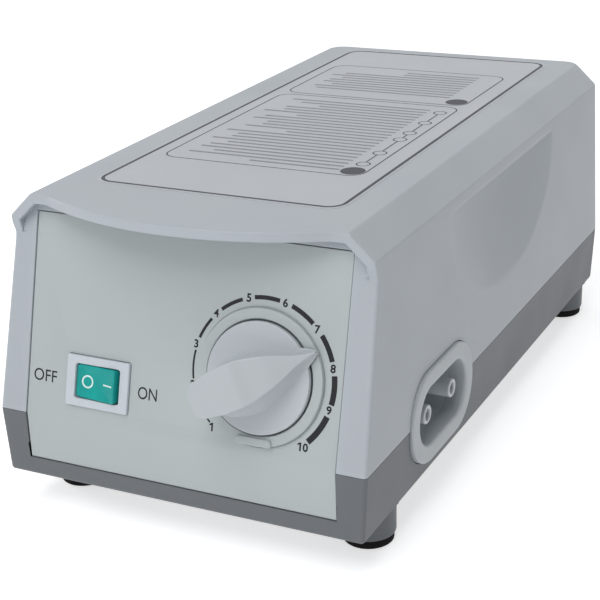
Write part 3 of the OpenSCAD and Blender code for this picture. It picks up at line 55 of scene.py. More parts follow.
# Length of the case, and how far its front leans back from upright
BODY_L = 224.5
LEAN = math.radians(15.3)
TAN_L, SIN_L, COS_L = math.tan(LEAN), math.sin(LEAN), math.cos(LEAN)
# Panel: half width, its top up the slope, its foot's height, and how far it lies behind the shells' front
PANEL_HALF, PANEL_UP, PANEL_LOW = 50.3, 60.0, 18.45
INSET = 0.4
# Places on the panel, across it and up it from the split line
DIAL = (25.8, 22.5)
SWITCH = (-26.1, 12.5)
KNOB_REST = math.radians(60)
# Air port: middle of the rim's face, the rim's length and height, the recess's length and height
PORT_X, PORT_Y, PORT_Z = 60.45, 55.4, 31.65
PORT_L, PORT_H, RECESS_L, RECESS_H = 48.8, 28.4, 37.4, 18.2


def at(p):
    """A point of the shapes' own frame, in the shared frame."""
    return ORIGIN + Vector(p) * MM


def front(x, up, out):
    """A point given across the leaning panel, up it and out of it."""
    return Vector((x, up * SIN_L - out * COS_L, SPLIT + up * COS_L + out * SIN_L))


def add_object(name, data):
    obj = bpy.data.objects.new(name, data)
    bpy.context.scene.collection.objects.link(obj)
    return obj


bpy.context.scene.view_settings.view_transform = "Standard"

# Camera, turned and placed as the photograph's was
AZIMUTH, ELEVATION, ROLL = math.radians(26.92), math.radians(21.53), math.radians(-2.15)
CAMERA_AT = (205.5, -322.2, 224.45)
LENS = 90.26


def build_camera():
    level = math.cos(ELEVATION)
    back = Vector((math.sin(AZIMUTH) * level, -math.cos(AZIMUTH) * level, math.sin(ELEVATION)))
    side = Vector((math.cos(AZIMUTH), math.sin(AZIMUTH), 0))
    up = back.cross(side)
    rolled_side = side * math.cos(ROLL) + up * math.sin(ROLL)
    rolled_up = up * math.cos(ROLL) - side * math.sin(ROLL)
    data = bpy.data.cameras.new("camera")
    data.sensor_width = 36
    data.lens = LENS
    data.clip_start = 0.01
    data.clip_end = 50
    camera = add_object("camera", data)
    turn = Matrix((rolled_side, rolled_up, back)).transposed().to_4x4()
    camera.matrix_world = Matrix.Translation(at(CAMERA_AT)) @ turn
    bpy.context.scene.camera = camera


build_camera()


# Materials
def linear(c):
    c = c / 255
    return c / 12.92 if c <= 0.04045 else ((c + 0.055) / 1.055) ** 2.4


def scaled(rgb, k):
    """A colour from its screen values, k times as bright."""
    return tuple(min(1.0, linear(c) * k) for c in rgb) + (1.0,)


def grey(value):
    return (value, value, value, 1)


def feed(nt, node, inputs):
    """Sets a node's sockets: each gets a value, or the output that feeds it."""
    for socket, value in inputs.items():
        if isinstance(value, bpy.types.NodeSocket):
            nt.links.new(value, node.inputs[socket])
        else:
            node.inputs[socket].default_value = value


def add_node(nt, kind, inputs=None):
    node = nt.nodes.new("ShaderNode" + kind)
    feed(nt, node, inputs or {})
    return node


def noise(nt, vector, scale, detail=2.0, rough=0.5):
    inputs = {"Scale": scale, "Detail": detail, "Roughness": rough, "Vector": vector}
    return add_node(nt, "TexNoise", inputs).outputs["Fac"]


def ramp(nt, fac, first, last, start=0.3, end=0.7):
    """Blend from the first colour to the last while fac goes from start to end."""
    node = add_node(nt, "ValToRGB", {"Fac": fac})
    for element, place, colour in zip(node.color_ramp.elements, (start, end), (first, last)):
        element.position = place
        element.color = colour
    return node.outputs["Color"]


def worked_out(nt, kind, operation, inputs):
    """Outputs of a node that works out a number."""
    node = nt.nodes.new("ShaderNode" + kind)
    node.operation = operation
    feed(nt, node, inputs)
    return node.outputs


def bump(nt, shader, height, strength, distance):
    node = add_node(nt, "Bump", {"Strength": strength, "Distance": distance, "Height": height})
    feed(nt, shader, {"Normal": node.outputs["Normal"]})


def new_material(name):
    """A new material with its node tree, its shader and an output of the object's coordinates."""
    mat = bpy.data.materials.new(name)
    mat.use_nodes = True
    nt = mat.node_tree
    return mat, nt, nt.nodes["Principled BSDF"], add_node(nt, "TexCoord").outputs["Object"]


def moulded(name, rgb, rough=0.45, vary=0.03, grain=1600, depth=0.25, pale_edge=0.0, specular=0.5):
    """Moulded plastic: a slight change of tone, a fine spark-eroded grain and paler sharp convex edges."""
    mat, nt, shader, coords = new_material(name)
    colour = ramp(nt, noise(nt, coords, 14, 3, 0.55), scaled(rgb, 1 - vary), scaled(rgb, 1 + vary))
    # Sharp convex edges, picked by pointiness, are mixed towards a paler colour
    if pale_edge:
        pointiness = add_node(nt, "NewGeometry").outputs["Pointiness"]
        mix = add_node(nt, "Mix")
        mix.data_type = "RGBA"
        edge = ramp(nt, pointiness, grey(0), grey(pale_edge), 0.50, 0.56)
        feed(nt, mix, {"Factor": edge, "A": colour, "B": scaled(rgb, 1.18)})
        colour = mix.outputs["Result"]
    sheen = ramp(nt, noise(nt, coords, 45), grey(rough * 0.92), grey(rough * 1.08))
    feed(nt, shader, {"Base Color": colour, "Roughness": sheen, "Specular IOR Level": specular})
    bump(nt, shader, noise(nt, coords, grain, 2, 0.6), depth, 0.00006)
    return mat


def metal(name, rgb, rough=0.3, stretch=(1, 1, 1), depth=0.2):
    """Bare metal with fine scratches along one way."""
    mat, nt, shader, coords = new_material(name)
    mapping = add_node(nt, "Mapping", {"Scale": stretch, "Vector": coords})
    scratches = noise(nt, mapping.outputs["Vector"], 900, 3, 0.7)
    colour = ramp(nt, noise(nt, coords, 60, 3), scaled(rgb, 0.9), scaled(rgb, 1.06))
    sheen = ramp(nt, scratches, grey(rough * 0.8), grey(rough * 1.3), 0.25, 0.75)
    feed(nt, shader, {"Base Color": colour, "Roughness": sheen, "Metallic": 1.0})
    bump(nt, shader, scratches, depth, 0.00003)
    return mat


def printed(name, rgb):
    """Screen-printed ink with faintly uneven cover."""
    mat, nt, shader, coords = new_material(name)
    colour = ramp(nt, noise(nt, coords, 1500), scaled(rgb, 0.9), scaled(rgb, 1.12))
    feed(nt, shader, {"Base Color": colour, "Roughness": 0.6, "Specular IOR Level": 0.3})
    return mat


def teal():
    """Glossy moulded plastic of the rocker, with a faint change of tone."""
    mat, nt, shader, coords = new_material("rocker_teal")
    tone = noise(nt, coords, 120, 3, 0.6)
    colour = ramp(nt, tone, scaled((14, 152, 146), 0.94), scaled((18, 160, 154), 1.05))
    feed(nt, shader, {"Base Color": colour, "Roughness": 0.34, "Specular IOR Level": 0.25})
    bump(nt, shader, noise(nt, coords, 700), 0.05, 0.00005)
    return mat


def glass():
    mat, nt, shader, coords = new_material("fuse_glass")
    colour = ramp(nt, noise(nt, coords, 300), (0.72, 0.78, 0.76, 1), (0.8, 0.85, 0.83, 1))
    feed(nt, shader, {"Base Color": colour, "Roughness": 0.15, "Transmission Weight": 0.5})
    return mat


M = {
    "upper": moulded("upper_plastic", (172, 178, 184), 0.48, 0.02, 1800, 0.3, pale_edge=0.35),
    "lower": moulded("lower_plastic", (98, 102, 106), 0.5, 0.03, 1700, 0.35, pale_edge=0.3),
    "panel": moulded("panel_plastic", (173, 180, 181), 0.5, 0.02, 2000, 0.3, pale_edge=0.3),
    "rim": moulded("rim_plastic", (176, 182, 186), 0.42, 0.02, 2000, 0.2, pale_edge=0.3),
    # Recess and spouts: the rim's plastic made paler, painted light that stands in for light inside the port
    "recess": moulded("recess_plastic_painted_light", (188, 194, 198), 0.5, 0.03, 1600, 0.3),
    # Nozzle tips: a paler colour that is a painted highlight on the spouts' ends
    "tip": moulded("nozzle_tip", (206, 210, 214), 0.4, 0.03, 2200, 0.15),
    "knob": moulded("knob_plastic", (181, 186, 191), 0.38, 0.02, 2400, 0.15, pale_edge=0.35),
    "bezel": moulded("bezel_plastic", (198, 204, 211), 0.3, 0.015, 2600, 0.1),
    "film": moulded("label_film", (176, 181, 187), 0.36, 0.015, 2600, 0.12),
    "rubber": moulded("foot_rubber", (26, 24, 25), 0.8, 0.12, 1200, 0.6, specular=0.12),
    "black": moulded("black_plastic", (38, 39, 42), 0.45, 0.08, 1800, 0.3),
    "hook": moulded("hook_plastic", (106, 110, 115), 0.5, 0.04, 1600, 0.3, pale_edge=0.3),
    "inner": moulded("inner_plastic", (214, 213, 204), 0.5, 0.03, 1600, 0.25),
    "rotor": moulded("rotor_plastic", (84, 96, 130), 0.45, 0.05, 1600, 0.25),
    "board": moulded("board_laminate", (52, 106, 68), 0.55, 0.1, 900, 0.3),
    "hose": moulded("hose_silicone", (206, 211, 214), 0.35, 0.03, 700, 0.2),
    "wire": moulded("wire_insulation", (92, 66, 52), 0.5, 0.15, 900, 0.2),
    "steel": metal("bright_steel", (196, 198, 202), 0.28),
    "brass": metal("brass_plate", (214, 196, 140), 0.3),
    "plate": metal("plate_aluminium", (186, 189, 193), 0.38, (1, 8, 1)),
    "iron": metal("laminated_iron", (122, 124, 130), 0.45, (1, 1, 14), 0.6),
    "copper": metal("copper_wire", (196, 118, 66), 0.35, (1, 18, 1), 0.8),
    "ink": printed("dark_ink", (27, 27, 31)),
    "label_ink": printed("label_ink", (66, 68, 76)),
    "label_grey": printed("label_grey", (138, 141, 146)),
    "mark": printed("white_ink", (214, 236, 232)),
    "rocker": teal(),
    "glass": glass(),
}


# Mesh helpers
def even_shading(obj):
    obj.modifiers.new("even_shading", "WEIGHTED_NORMAL").keep_sharp = True


def finish_mesh(bm, name, materials, body="housing", sharp=30, node=None, outside=None):
    """Makes a piece from a bmesh whose points are in the shapes' own millimetres.

    Edges over sharp degrees stay sharp. A piece with a node replaces it, and one without is flat print.
    outside is a point inside the piece and a test that picks faces which look away from that point.
    """
    bmesh.ops.recalc_face_normals(bm, faces=bm.faces)
    if outside:
        flip_out(bm, *outside)
    for v in bm.verts:
        v.co = at(v.co)
    for f in bm.faces:
        f.smooth = True
    for e in bm.edges:
        e.smooth = not (len(e.link_faces) == 2 and e.calc_face_angle(0) > math.radians(sharp))
    mesh = bpy.data.meshes.new(name)
    bm.to_mesh(mesh)
    bm.free()
    obj = add_object(name, mesh)
    for m in materials:
        mesh.materials.append(M[m])
    if node:
        even_shading(obj)
    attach(obj, body)
    if node:
        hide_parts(node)


def flip_out(bm, centre, test):
    """Turns all faces if those that the test picks look towards the centre."""
    total = 0.0
    for f in bm.faces:
        if test(f):
            total += f.normal.dot(f.calc_center_median() - centre) * f.calc_area()
    if total < 0:
        bmesh.ops.reverse_faces(bm, faces=bm.faces)


def merge_close(bm):
    """Joins the rows that meet at the shells' seams."""
    bmesh.ops.remove_doubles(bm, verts=bm.verts, dist=0.004)
    bmesh.ops.dissolve_degenerate(bm, edges=bm.edges, dist=0.002)


def face(bm, verts, mat=0):
    """Face through the distinct ones of these vertices."""
    kept = []
    for v in verts:
        if v not in kept:
            kept.append(v)
    if len(kept) > 2 and not bm.faces.get(kept):
        bm.faces.new(kept).material_index = mat


def sided_face(bm, verts, sgn):
    """Face of the right side, or turned round for the left side."""
    face(bm, verts if sgn > 0 else verts[::-1])


def strip(bm, a, b, closed=False, mat=0):
    """Quads between two rows of vertices."""
    n = len(a)
    for i in range(n if closed else n - 1):
        j = (i + 1) % n
        face(bm, [a[i], a[j], b[j], b[i]], mat)


def grid(bm, rows, sgn, skip):
    """Quads between rows of vertices, apart from those that skip names by row and column."""
    for i in range(len(rows) - 1):
        for j in range(len(rows[i]) - 1):
            if not skip(i, j):
                sided_face(bm, [rows[i][j], rows[i][j + 1], rows[i + 1][j + 1], rows[i + 1][j]], sgn)


def row_of(bm, points):
    return [bm.verts.new(p) for p in points]


def side_row(bm, points, sgn):
    """Vertices at the right side's points, or at their mirror images."""
    return [bm.verts.new((p.x * sgn, p.y, p.z)) for p in points]


def extend(bm, last, rows, closed=True):
    """Strips from a row of vertices on through rows of points. Gives the last row's vertices."""
    for row in rows:
        following = row_of(bm, row)
        strip(bm, last, following, closed)
        last = following
    return last


def loft(bm, rows, closed=True, cap_first=False, cap_last=False, mats=None):
    """Strips through rows of points, with a face over the first and the last row where asked for."""
    rings = [row_of(bm, r) for r in rows]
    mats = mats or [0] * len(rows)
    for i in range(len(rings) - 1):
        strip(bm, rings[i], rings[i + 1], closed, mats[i])
    if cap_first:
        face(bm, rings[0][::-1], mats[0])
    if cap_last:
        face(bm, rings[-1], mats[-1])
    return rings


def fill(bm, loops, i, j):
    """Triangles over a flat region, from an outline to its holes. It spreads along the axes i and j."""
    verts = [v for loop in loops for v in loop]
    polys = [[Vector((v.co[i], v.co[j], 0)) for v in loop] for loop in loops]
    for corners in tessellate_polygon(polys):
        face(bm, [verts[k] for k in corners])


def rounded(half_x, half_y, r, n=6):
    """Outline of a rectangle with round corners."""
    pts = []
    for cx, cy, a0 in ((1, 1, 0), (-1, 1, 90), (-1, -1, 180), (1, -1, 270)):
        for i in range(n + 1):
            a = math.radians(a0 + 90 * i / n)
            pts.append((cx * (half_x - r) + r * math.cos(a), cy * (half_y - r) + r * math.sin(a)))
    return pts


def stadium(length, height, n, straight):
    """Outline with round ends: along the length and the height."""
    r, s = height / 2, (length - height) / 2
    pts = []
    for end in (1, -1):
        for i in range(n + 1):
            a = math.radians(-90 * end + 180 * i / n)
            pts.append((end * s + r * math.cos(a), r * math.sin(a)))
        for i in range(1, straight):
            pts.append((end * (s - 2 * s * i / straight), end * r))
    return pts


def circle(r, n):
    angles = [2 * math.pi * i / n for i in range(n)]
    return [(r * math.cos(a), r * math.sin(a)) for a in angles]


def level_circle(x, y, z, r, n):
    return [(x + cx, y + cy, z) for cx, cy in circle(r, n)]


def quarter(n):
    """Angles through a quarter turn in n steps."""
    return [math.pi / 2 * i / n for i in range(n + 1)]


def steps(start, end, step):
    """Values from start on, as far as end."""
    values = []
    while start < end:
        values.append(start)
        start += step
    return values


# Shells
def draft_in(z):
    return DRAFT * (z - SPLIT) / (CHAMFER_Z - SPLIT)


def side_x(z):
    return HALF_W - draft_in(z)


def rear_y(z):
    return BODY_L - draft_in(z)


def front_y(z):
    return max(0.0, (z - SPLIT) * TAN_L)


# Half width of the flat top, and the tilts of the side's and the chamfer's outward normals in degrees
TOP_HALF = 50.4
SIDE_TILT, CHAMFER_TILT = 1.8, 46.2
# Rounds at the chamfer's two edges
LOW_ROUND, HIGH_ROUND, ROUND_STEPS = 1.2, 1.5, 5
# Hood: where its side lips start, the brow's front at its ends, its bulge, half its arc, and its thickness
LIP_LOW_Z = 84.15
HOOD_Y, HOOD_BULGE, HOOD_ARC = 12.6, 11.4, 45.0
HOOD_R = (HOOD_ARC ** 2 + HOOD_BULGE ** 2) / (2 * HOOD_BULGE)
HOOD_C = HOOD_Y - HOOD_BULGE + HOOD_R
HOOD_T = 3.0


def lip_y(x, z):
    """Front edge of the upper shell: the leaning face, then the hood's side lips, then its bulging brow."""
    if z <= LIP_LOW_Z:
        return front_y(z)
    if z <= CHAMFER_Z:
        t = (z - LIP_LOW_Z) / (CHAMFER_Z - LIP_LOW_Z)
        return max(HOOD_Y, front_y(LIP_LOW_Z) + (HOOD_Y - 0.5 - front_y(LIP_LOW_Z)) * t)
    if x >= HOOD_ARC:
        return HOOD_Y
    return HOOD_C - math.sqrt(HOOD_R ** 2 - x ** 2)


# Finger scoops: upper edge, middle along the case, length, height and depth
SCOOP_Z, SCOOP_Y, SCOOP_L, SCOOP_H, SCOOP_D = 85.95, 115.0, 98.0, 33.0, 6.0
R_ALONG = ((SCOOP_L / 2) ** 2 + SCOOP_D ** 2) / (2 * SCOOP_D)
R_DOWN = (SCOOP_H ** 2 + SCOOP_D ** 2) / (2 * SCOOP_D)
# How softly the scoop runs out, how far from its middle it can reach, and its upper edge's height and depth
SCOOP_SOFT, SCOOP_REACH, SCOOP_RISE, SCOOP_EDGE = 0.08, 70, 0.11, 0.1


def scoop_depth(y, z):
    """How deep the scoop lies in the side, which is a ball's hollow drawn out along the case."""
    dy, dz = y - SCOOP_Y, SCOOP_Z - z
    if dz < -SCOOP_RISE or abs(dy) > SCOOP_REACH:
        return 0.0
    r = R_DOWN - R_ALONG + math.sqrt(R_ALONG ** 2 - dy ** 2)
    centre = side_x(SCOOP_Z) - SCOOP_D + R_DOWN
    inside = r ** 2 - dz ** 2
    if inside <= 0:
        return 0.0
    d = side_x(z) - (centre - math.sqrt(inside))
    d = (d + math.sqrt(d * d + SCOOP_SOFT * SCOOP_SOFT)) / 2
    if d < 0.01:
        return 0.0
    return min(d, SCOOP_EDGE) if dz < 0 else d


def bend(p0, p1, p2, r):
    """Points of a round of radius r at the corner p1 of a path p0-p1-p2 in the cross-section."""
    a = Vector((p0[0] - p1[0], p0[1] - p1[1])).normalized()
    b = Vector((p2[0] - p1[0], p2[1] - p1[1])).normalized()
    half = a.angle(b) / 2
    centre = Vector(p1) + (a + b).normalized() * (r / math.sin(half))
    reach = r / math.tan(half)
    va = Vector(p1) + a * reach - centre
    vb = Vector(p1) + b * reach - centre
    total = va.angle_signed(vb)
    out = []
    for i in range(ROUND_STEPS + 1):
        t = -total * i / ROUND_STEPS
        out.append((centre.x + va.x * math.cos(t) - va.y * math.sin(t),
                    centre.y + va.x * math.sin(t) + va.y * math.cos(t)))
    return out


# Corners of the cross-section at the chamfer, and where the rounds there begin and end
EDGE = (side_x(CHAMFER_Z), CHAMFER_Z)
PEAK = (TOP_HALF, TOP)
HIGH_BEND = bend(EDGE, PEAK, (0, TOP), HIGH_ROUND)
TOP_X = HIGH_BEND[-1][0]
BEND_Z = CHAMFER_Z - 0.5
# Rounded edge of both shells at the split line: distance from it, and how far in
SPLIT_EDGE = ((0.0, 1.5), (0.0, 0.35), (0.05, 0.15), (0.12, 0.05), (0.3, 0.0))

# Gap between the air port's rim and the shells' hole for it, and (how deep, how far in) round the hole's edge
PORT_GAP = 0.35
PORT_EDGE = ((0.12, 0.12), (0.35, 0.2), (2.4, 0.2))
PORT_STEPS = 48
# The columns and the row that frame the hole, and the steps between the rest
PORT_START, PORT_END = PORT_Y - PORT_L / 2 - PORT_GAP, PORT_Y + PORT_L / 2 + PORT_GAP
PORT_BLOCK_Z = 48.0
ROW_STEP, COLUMN_STEP = 0.72, 0.8


def upper_stations():
    """Stations up the right half of the cross-section: (x, z, how far in all round, outward normal)."""
    st = [(side_x(SPLIT + z) - d, SPLIT + z, d, (1.0, 0.0)) for z, d in SPLIT_EDGE]
    zs = [35, 38, 41, 44, PORT_BLOCK_Z, 50]
    zs += steps(51.5, SCOOP_Z - 0.7, ROW_STEP)
    zs += [SCOOP_Z + dz for dz in (-0.5, -0.2, -0.07, 0.05, 0.3, 1.6)]
    st += [(side_x(z), z, 0.0, (1.0, 0.03)) for z in zs]

    def add(x, z, tilt):
        st.append((x, z, 0.0, (math.cos(math.radians(tilt)), math.sin(math.radians(tilt)))))

    for i, (x, z) in enumerate(bend((side_x(60), 60), EDGE, PEAK, LOW_ROUND)):
        add(x, z, SIDE_TILT + (CHAMFER_TILT - SIDE_TILT) * i / ROUND_STEPS)
    for z in (CHAMFER_Z + dz for dz in (2.2, 4.2, 5.6, 6.0, 6.4)):
        t = (z - CHAMFER_Z) / (TOP - CHAMFER_Z)
        add(EDGE[0] + (PEAK[0] - EDGE[0]) * t, z, CHAMFER_TILT)
    for i, (x, z) in enumerate(HIGH_BEND):
        add(x, z, CHAMFER_TILT + (90 - CHAMFER_TILT) * i / ROUND_STEPS)
    return st


def inner_section(x, z):
    """Point of the hood's inside that faces an outer station."""
    # Corners of the inside's cross-section
    k = HOOD_T * math.tan(math.radians((CHAMFER_TILT - SIDE_TILT) / 2))
    low_c = (side_x(CHAMFER_Z) - HOOD_T, CHAMFER_Z - k)
    high_c = (TOP_HALF - k, TOP - HOOD_T)
    if z <= BEND_Z:
        return (side_x(z) - HOOD_T, min(z, low_c[1]))
    if x >= TOP_X - 0.01:
        t = (z - BEND_Z) / (TOP - BEND_Z)
        return (low_c[0] + (high_c[0] - low_c[0]) * t, low_c[1] + (high_c[1] - low_c[1]) * t)
    return (x * high_c[0] / TOP_X, TOP - HOOD_T)


# Rounds between the back and the top and between the back and the sides
REAR_FILLET, REAR_R = 1.6, 6.5
REAR_STEPS, REAR_COLUMNS = 10, 6


def rear_inset(z):
    if z <= TOP - REAR_FILLET:
        return 0.0
    h = z - (TOP - REAR_FILLET)
    return REAR_FILLET - math.sqrt(max(0.0, REAR_FILLET ** 2 - h ** 2))


def rear_corner(x, y, r, z):
    """Round of radius r from the side at x to the back at y."""
    return [Vector((x - r + r * math.cos(a), y - r + r * math.sin(a), z)) for a in quarter(REAR_STEPS)]


def long_columns():
    """Places of the columns along the side."""
    ys = [20.0, PORT_START, 38.0, 46.0, 54.0, 61.0]
    ys += steps(65.0, PORT_END - 0.4, COLUMN_STEP)
    ys += [PORT_END]
    ys += steps(PORT_END + 0.6, 165.5, COLUMN_STEP)
    return ys + [170.0, 180.0, 190.0, 200.0]


# Panel's opening: its side and top edges, its height at the chamfer, and its edge's (depth, distance out)
PANEL_EDGE = PANEL_HALF + 0.2
PANEL_EDGE_Z = SPLIT + (PANEL_UP + 0.2) * COS_L
OPENING_BEND_Z = CHAMFER_Z - 1.22
OPENING_DEPTH = 2.6
OPENING_EDGE = ((OPENING_DEPTH, 0.0), (0.25, 0.0), (0.07, 0.07), (0.0, 0.25))
LIP_ROUND, LIP_STEPS = 1.2, 5


def front_columns(x, z, d, n, over_panel):
    """Points across the front of one station: panel's opening, leaning face, hood's inside and lip."""
    xi, zi = inner_section(x, z) if z > LIP_LOW_Z - 2 else (side_x(z) - HOOD_T, z)
    px, pz = PANEL_EDGE, min(zi, PANEL_EDGE_Z)
    if over_panel:
        px, pz = x * PANEL_EDGE / TOP_X, PANEL_EDGE_Z
    elif z > BEND_Z:
        pz = OPENING_BEND_Z + (PANEL_EDGE_Z - OPENING_BEND_Z) * (z - BEND_Z) / (TOP - BEND_Z)
    pts = []
    for depth, off in OPENING_EDGE:
        aside, above = (0.0, off) if over_panel else (off, 0.0)
        pts.append(Vector((px + aside, front_y(pz) + depth + above * SIN_L + d, pz + above * COS_L)))
    # Leaning face as far as the hood's inside
    inner = Vector((xi, front_y(zi) + d, zi))
    pts += [pts[-1].lerp(inner, 0.5), inner]
    # The hood's inside forward to the lip
    yi = lip_y(xi, zi) + d
    reach = max(0.0, inner.y - yi)
    inward = min(0.3, reach)
    outward = Vector((n[0], 0, n[1])).normalized()
    pts.append(Vector((xi, inner.y - reach * 0.5, zi)))
    pts.append(Vector((xi, yi + inward, zi)))
    pts.append(Vector((xi, yi, zi)) + outward * inward)
    # The lip's face and its rounded outer edge, which is half as round at the hood
    outer = Vector((x, lip_y(x, z) + d, z))
    r = LIP_ROUND - LIP_ROUND / 2 * min(1.0, max(0.0, (z - LIP_LOW_Z + 2) / 4))
    for a in reversed(quarter(LIP_STEPS)):
        pts.append(outer - outward * r * (1 - math.cos(a)) + Vector((0, r * (1 - math.sin(a)), 0)))
    return pts


def port_outline(turn):
    """Half the outline of the port's hole: the upper half, or the lower one at a turn of pi."""
    s0, r = (PORT_L - PORT_H) / 2, PORT_H / 2 + PORT_GAP - 0.02
    pts = []
    for k in range(PORT_STEPS + 1):
        a = turn + math.pi * k / PORT_STEPS
        s = math.copysign(s0, math.cos(a)) if abs(math.cos(a)) > 1e-6 else 0.0
        pts.append((PORT_Y + s + r * math.cos(a), PORT_Z + r * math.sin(a)))
    return pts


def port_hole(bm, rows, split_row, far_row, a, b, outline):
    """Fills a shell round the port's half hole, from column a to column b, and turns the hole's edge in.

    The outline's points run from column b's side to column a's.
    """
    edge = row_of(bm, outline)
    loop = [rows[i][a] for i in range(split_row, far_row + 1)] + rows[far_row][a + 1:b + 1]
    loop += [rows[i][b] for i in range(far_row - 1, split_row - 1, -1)] + edge
    fill(bm, [loop], 1, 2)
    rim = [rows[split_row][b]] + edge + [rows[split_row][a]]
    turned_in = []
    for deep, shrink in PORT_EDGE:
        row = []
        for c in (v.co for v in rim):
            inward = Vector((0, PORT_Y - c.y, PORT_Z - c.z)).normalized() * shrink
            row.append(Vector((c.x - deep, c.y + inward.y, c.z + inward.z)))
        turned_in.append(row)
    extend(bm, rim, turned_in, False)


def upper_columns(x, z, d, n, ys):
    """Points round one station of the right side: across the front, along the side and over half the back."""
    cols = front_columns(x, z, d, n, False)
    start_y = cols[-1].y
    for y in ys:
        if y < PORT_START:
            y = max(y, start_y + 0.2)
        depth = scoop_depth(y, z) if z < SCOOP_Z + 1 and d == 0 else 0.0
        cols.append(Vector((x - depth, y, z)))
    y, r = rear_y(z) - d - rear_inset(z), REAR_R - d - rear_inset(z)
    cols += rear_corner(x, y, r, z)
    cols += [Vector(((x - r) * (1 - i / REAR_COLUMNS), y, z)) for i in range(1, REAR_COLUMNS + 1)]
    return cols


def upper_side(bm, sgn):
    """One side of the upper shell with its half of the brow.

    Gives the side's uppermost row, the top's front edge and the number of columns across the front.
    """
    st, ys = upper_stations(), long_columns()
    n_front = len(front_columns(*st[0], False))
    rows = [side_row(bm, upper_columns(*station, ys), sgn) for station in st]
    hole_a, hole_b = n_front + ys.index(PORT_START), n_front + ys.index(PORT_END)
    split_row = len(SPLIT_EDGE) - 1
    far_row = next(i for i, s in enumerate(st) if s[1] >= PORT_BLOCK_Z)
    grid(bm, rows, sgn, lambda i, j: sgn > 0 and hole_a <= j < hole_b and i < far_row)
    if sgn > 0:
        outline = [(side_x(z), y, z) for y, z in port_outline(0) if z > SPLIT + 0.4]
        port_hole(bm, rows, split_row, far_row, hole_a, hole_b, outline)
    # Brow over the panel and the flat top's front edge
    last = rows[-1][:n_front]
    front_edge = [last[-1]]
    for x in (47.5, HOOD_ARC, *range(42, 2, -4), 3.0, 0.0):
        following = side_row(bm, front_columns(x, TOP, 0.0, (0.0, 1.0), True), sgn)
        for j in range(n_front - 1):
            sided_face(bm, [last[j], last[j + 1], following[j + 1], following[j]], sgn)
        last = following
        front_edge.append(last[-1])
    return rows[-1], front_edge, n_front


def build_upper():
    bm = bmesh.new()
    right, right_front, n_front = upper_side(bm, 1)
    left, left_front, n_front = upper_side(bm, -1)
    # Flat top: one face behind the brow, then rungs between the two sides
    face(bm, right_front + left_front[-2::-1] + [left[n_front], right[n_front]])
    for j in range(n_front, len(right) - 1):
        face(bm, [right[j], left[j], left[j + 1], right[j + 1]])
    merge_close(bm)
    finish_mesh(bm, "upper_shell", ["upper"], node="upper_housing",
                outside=(Vector((0, 110, 55)), lambda f: f.calc_center_median().z > TOP - 0.1))


# Lower shell: heights of its underside and of the pads' tops, and how far its sides lean in on the way down
FOOT_H, PAD_H = 12.65, 2.8
LOWER_DRAFT = 1.3
# Places of the feet and the screws from above, and of the inlet's hole in the back with its half sizes
FEET = [(s * (HALF_W - 10.8), y) for s in (-1, 1) for y in (24.6, BODY_L - 12.7)]
SCREWS = [(s * (HALF_W - 9.25), y) for s in (-1, 1) for y in (9.4, BODY_L - 26)]
INLET = (-28.4, 22.75)
INLET_HALF_W, INLET_HALF_H = 11.2, 6.2
# Rows of the shell, (height, how far in): the split line's edge, down the side, and the underside's round
SILL_ROWS = [PANEL_LOW - 0.2, PANEL_LOW - 0.27, PANEL_LOW - 0.45]
LOWER_ROWS = [(SPLIT - z, d) for z, d in SPLIT_EDGE]
LOWER_ROWS += [(z, 0.0) for z in [28.0, 23.0] + SILL_ROWS + [16.0]]
LOWER_ROWS += [(FOOT_H + 1 - math.sin(a), 1 - math.cos(a)) for a in quarter(5)]
# The first row under the panel's opening, and the last flat one
SILL_ROW, LAST_FLAT_ROW = 7, 10
# Profiles of a foot's boss and a screw's well: radius, and height from the underside
BOSS = [(9.2, 0.0), (8.75, -0.1), (8.4, -0.38), (8.22, -0.9), (8.1, -9.3), (7.95, -9.7),
        (7.6, PAD_H - FOOT_H), (2.0, PAD_H - FOOT_H)]
WELL = [(3.2, 0.0), (3.1, 0.1), (3.05, 0.3), (3.05, 4.0)]
# Vents in the underside: how many, their spacing, middle along the case and depth, half sizes and corners
VENTS, VENT_STEP, VENT_Y, VENT_DEPTH = 7, 4.0, BODY_L / 2 + 15, 2.5
VENT_HALF_W, VENT_HALF_L, VENT_R = 0.8, 12, 0.75


def lower_side_x(z):
    return HALF_W - LOWER_DRAFT * (SPLIT - z) / (SPLIT - FOOT_H)


def lower_front(x, z, d):
    """Points across the front of one row of the lower shell's right side."""
    if z < PANEL_LOW - 0.1:
        # Below the panel the front runs right across, and its upper edge is rounded
        ledge = max(0.0, z - SILL_ROWS[-1])
        cols = [Vector((fx, d + ledge * 0.3, z)) for fx in (0.0, 12.5, 25.0, 37.5, PANEL_EDGE)]
    else:
        edge = [OPENING_EDGE[0], (2.0, 0.0), *OPENING_EDGE[1:]]
        cols = [Vector((PANEL_EDGE + off, depth + d, z)) for depth, off in edge]
    cols.append(Vector((x - 4, d, z)))
    r = max(0.3, LIP_ROUND - d)
    for a in reversed(quarter(LIP_STEPS)):
        cols.append(Vector((x - r * (1 - math.cos(a)), d + r * (1 - math.sin(a)), z)))
    return cols


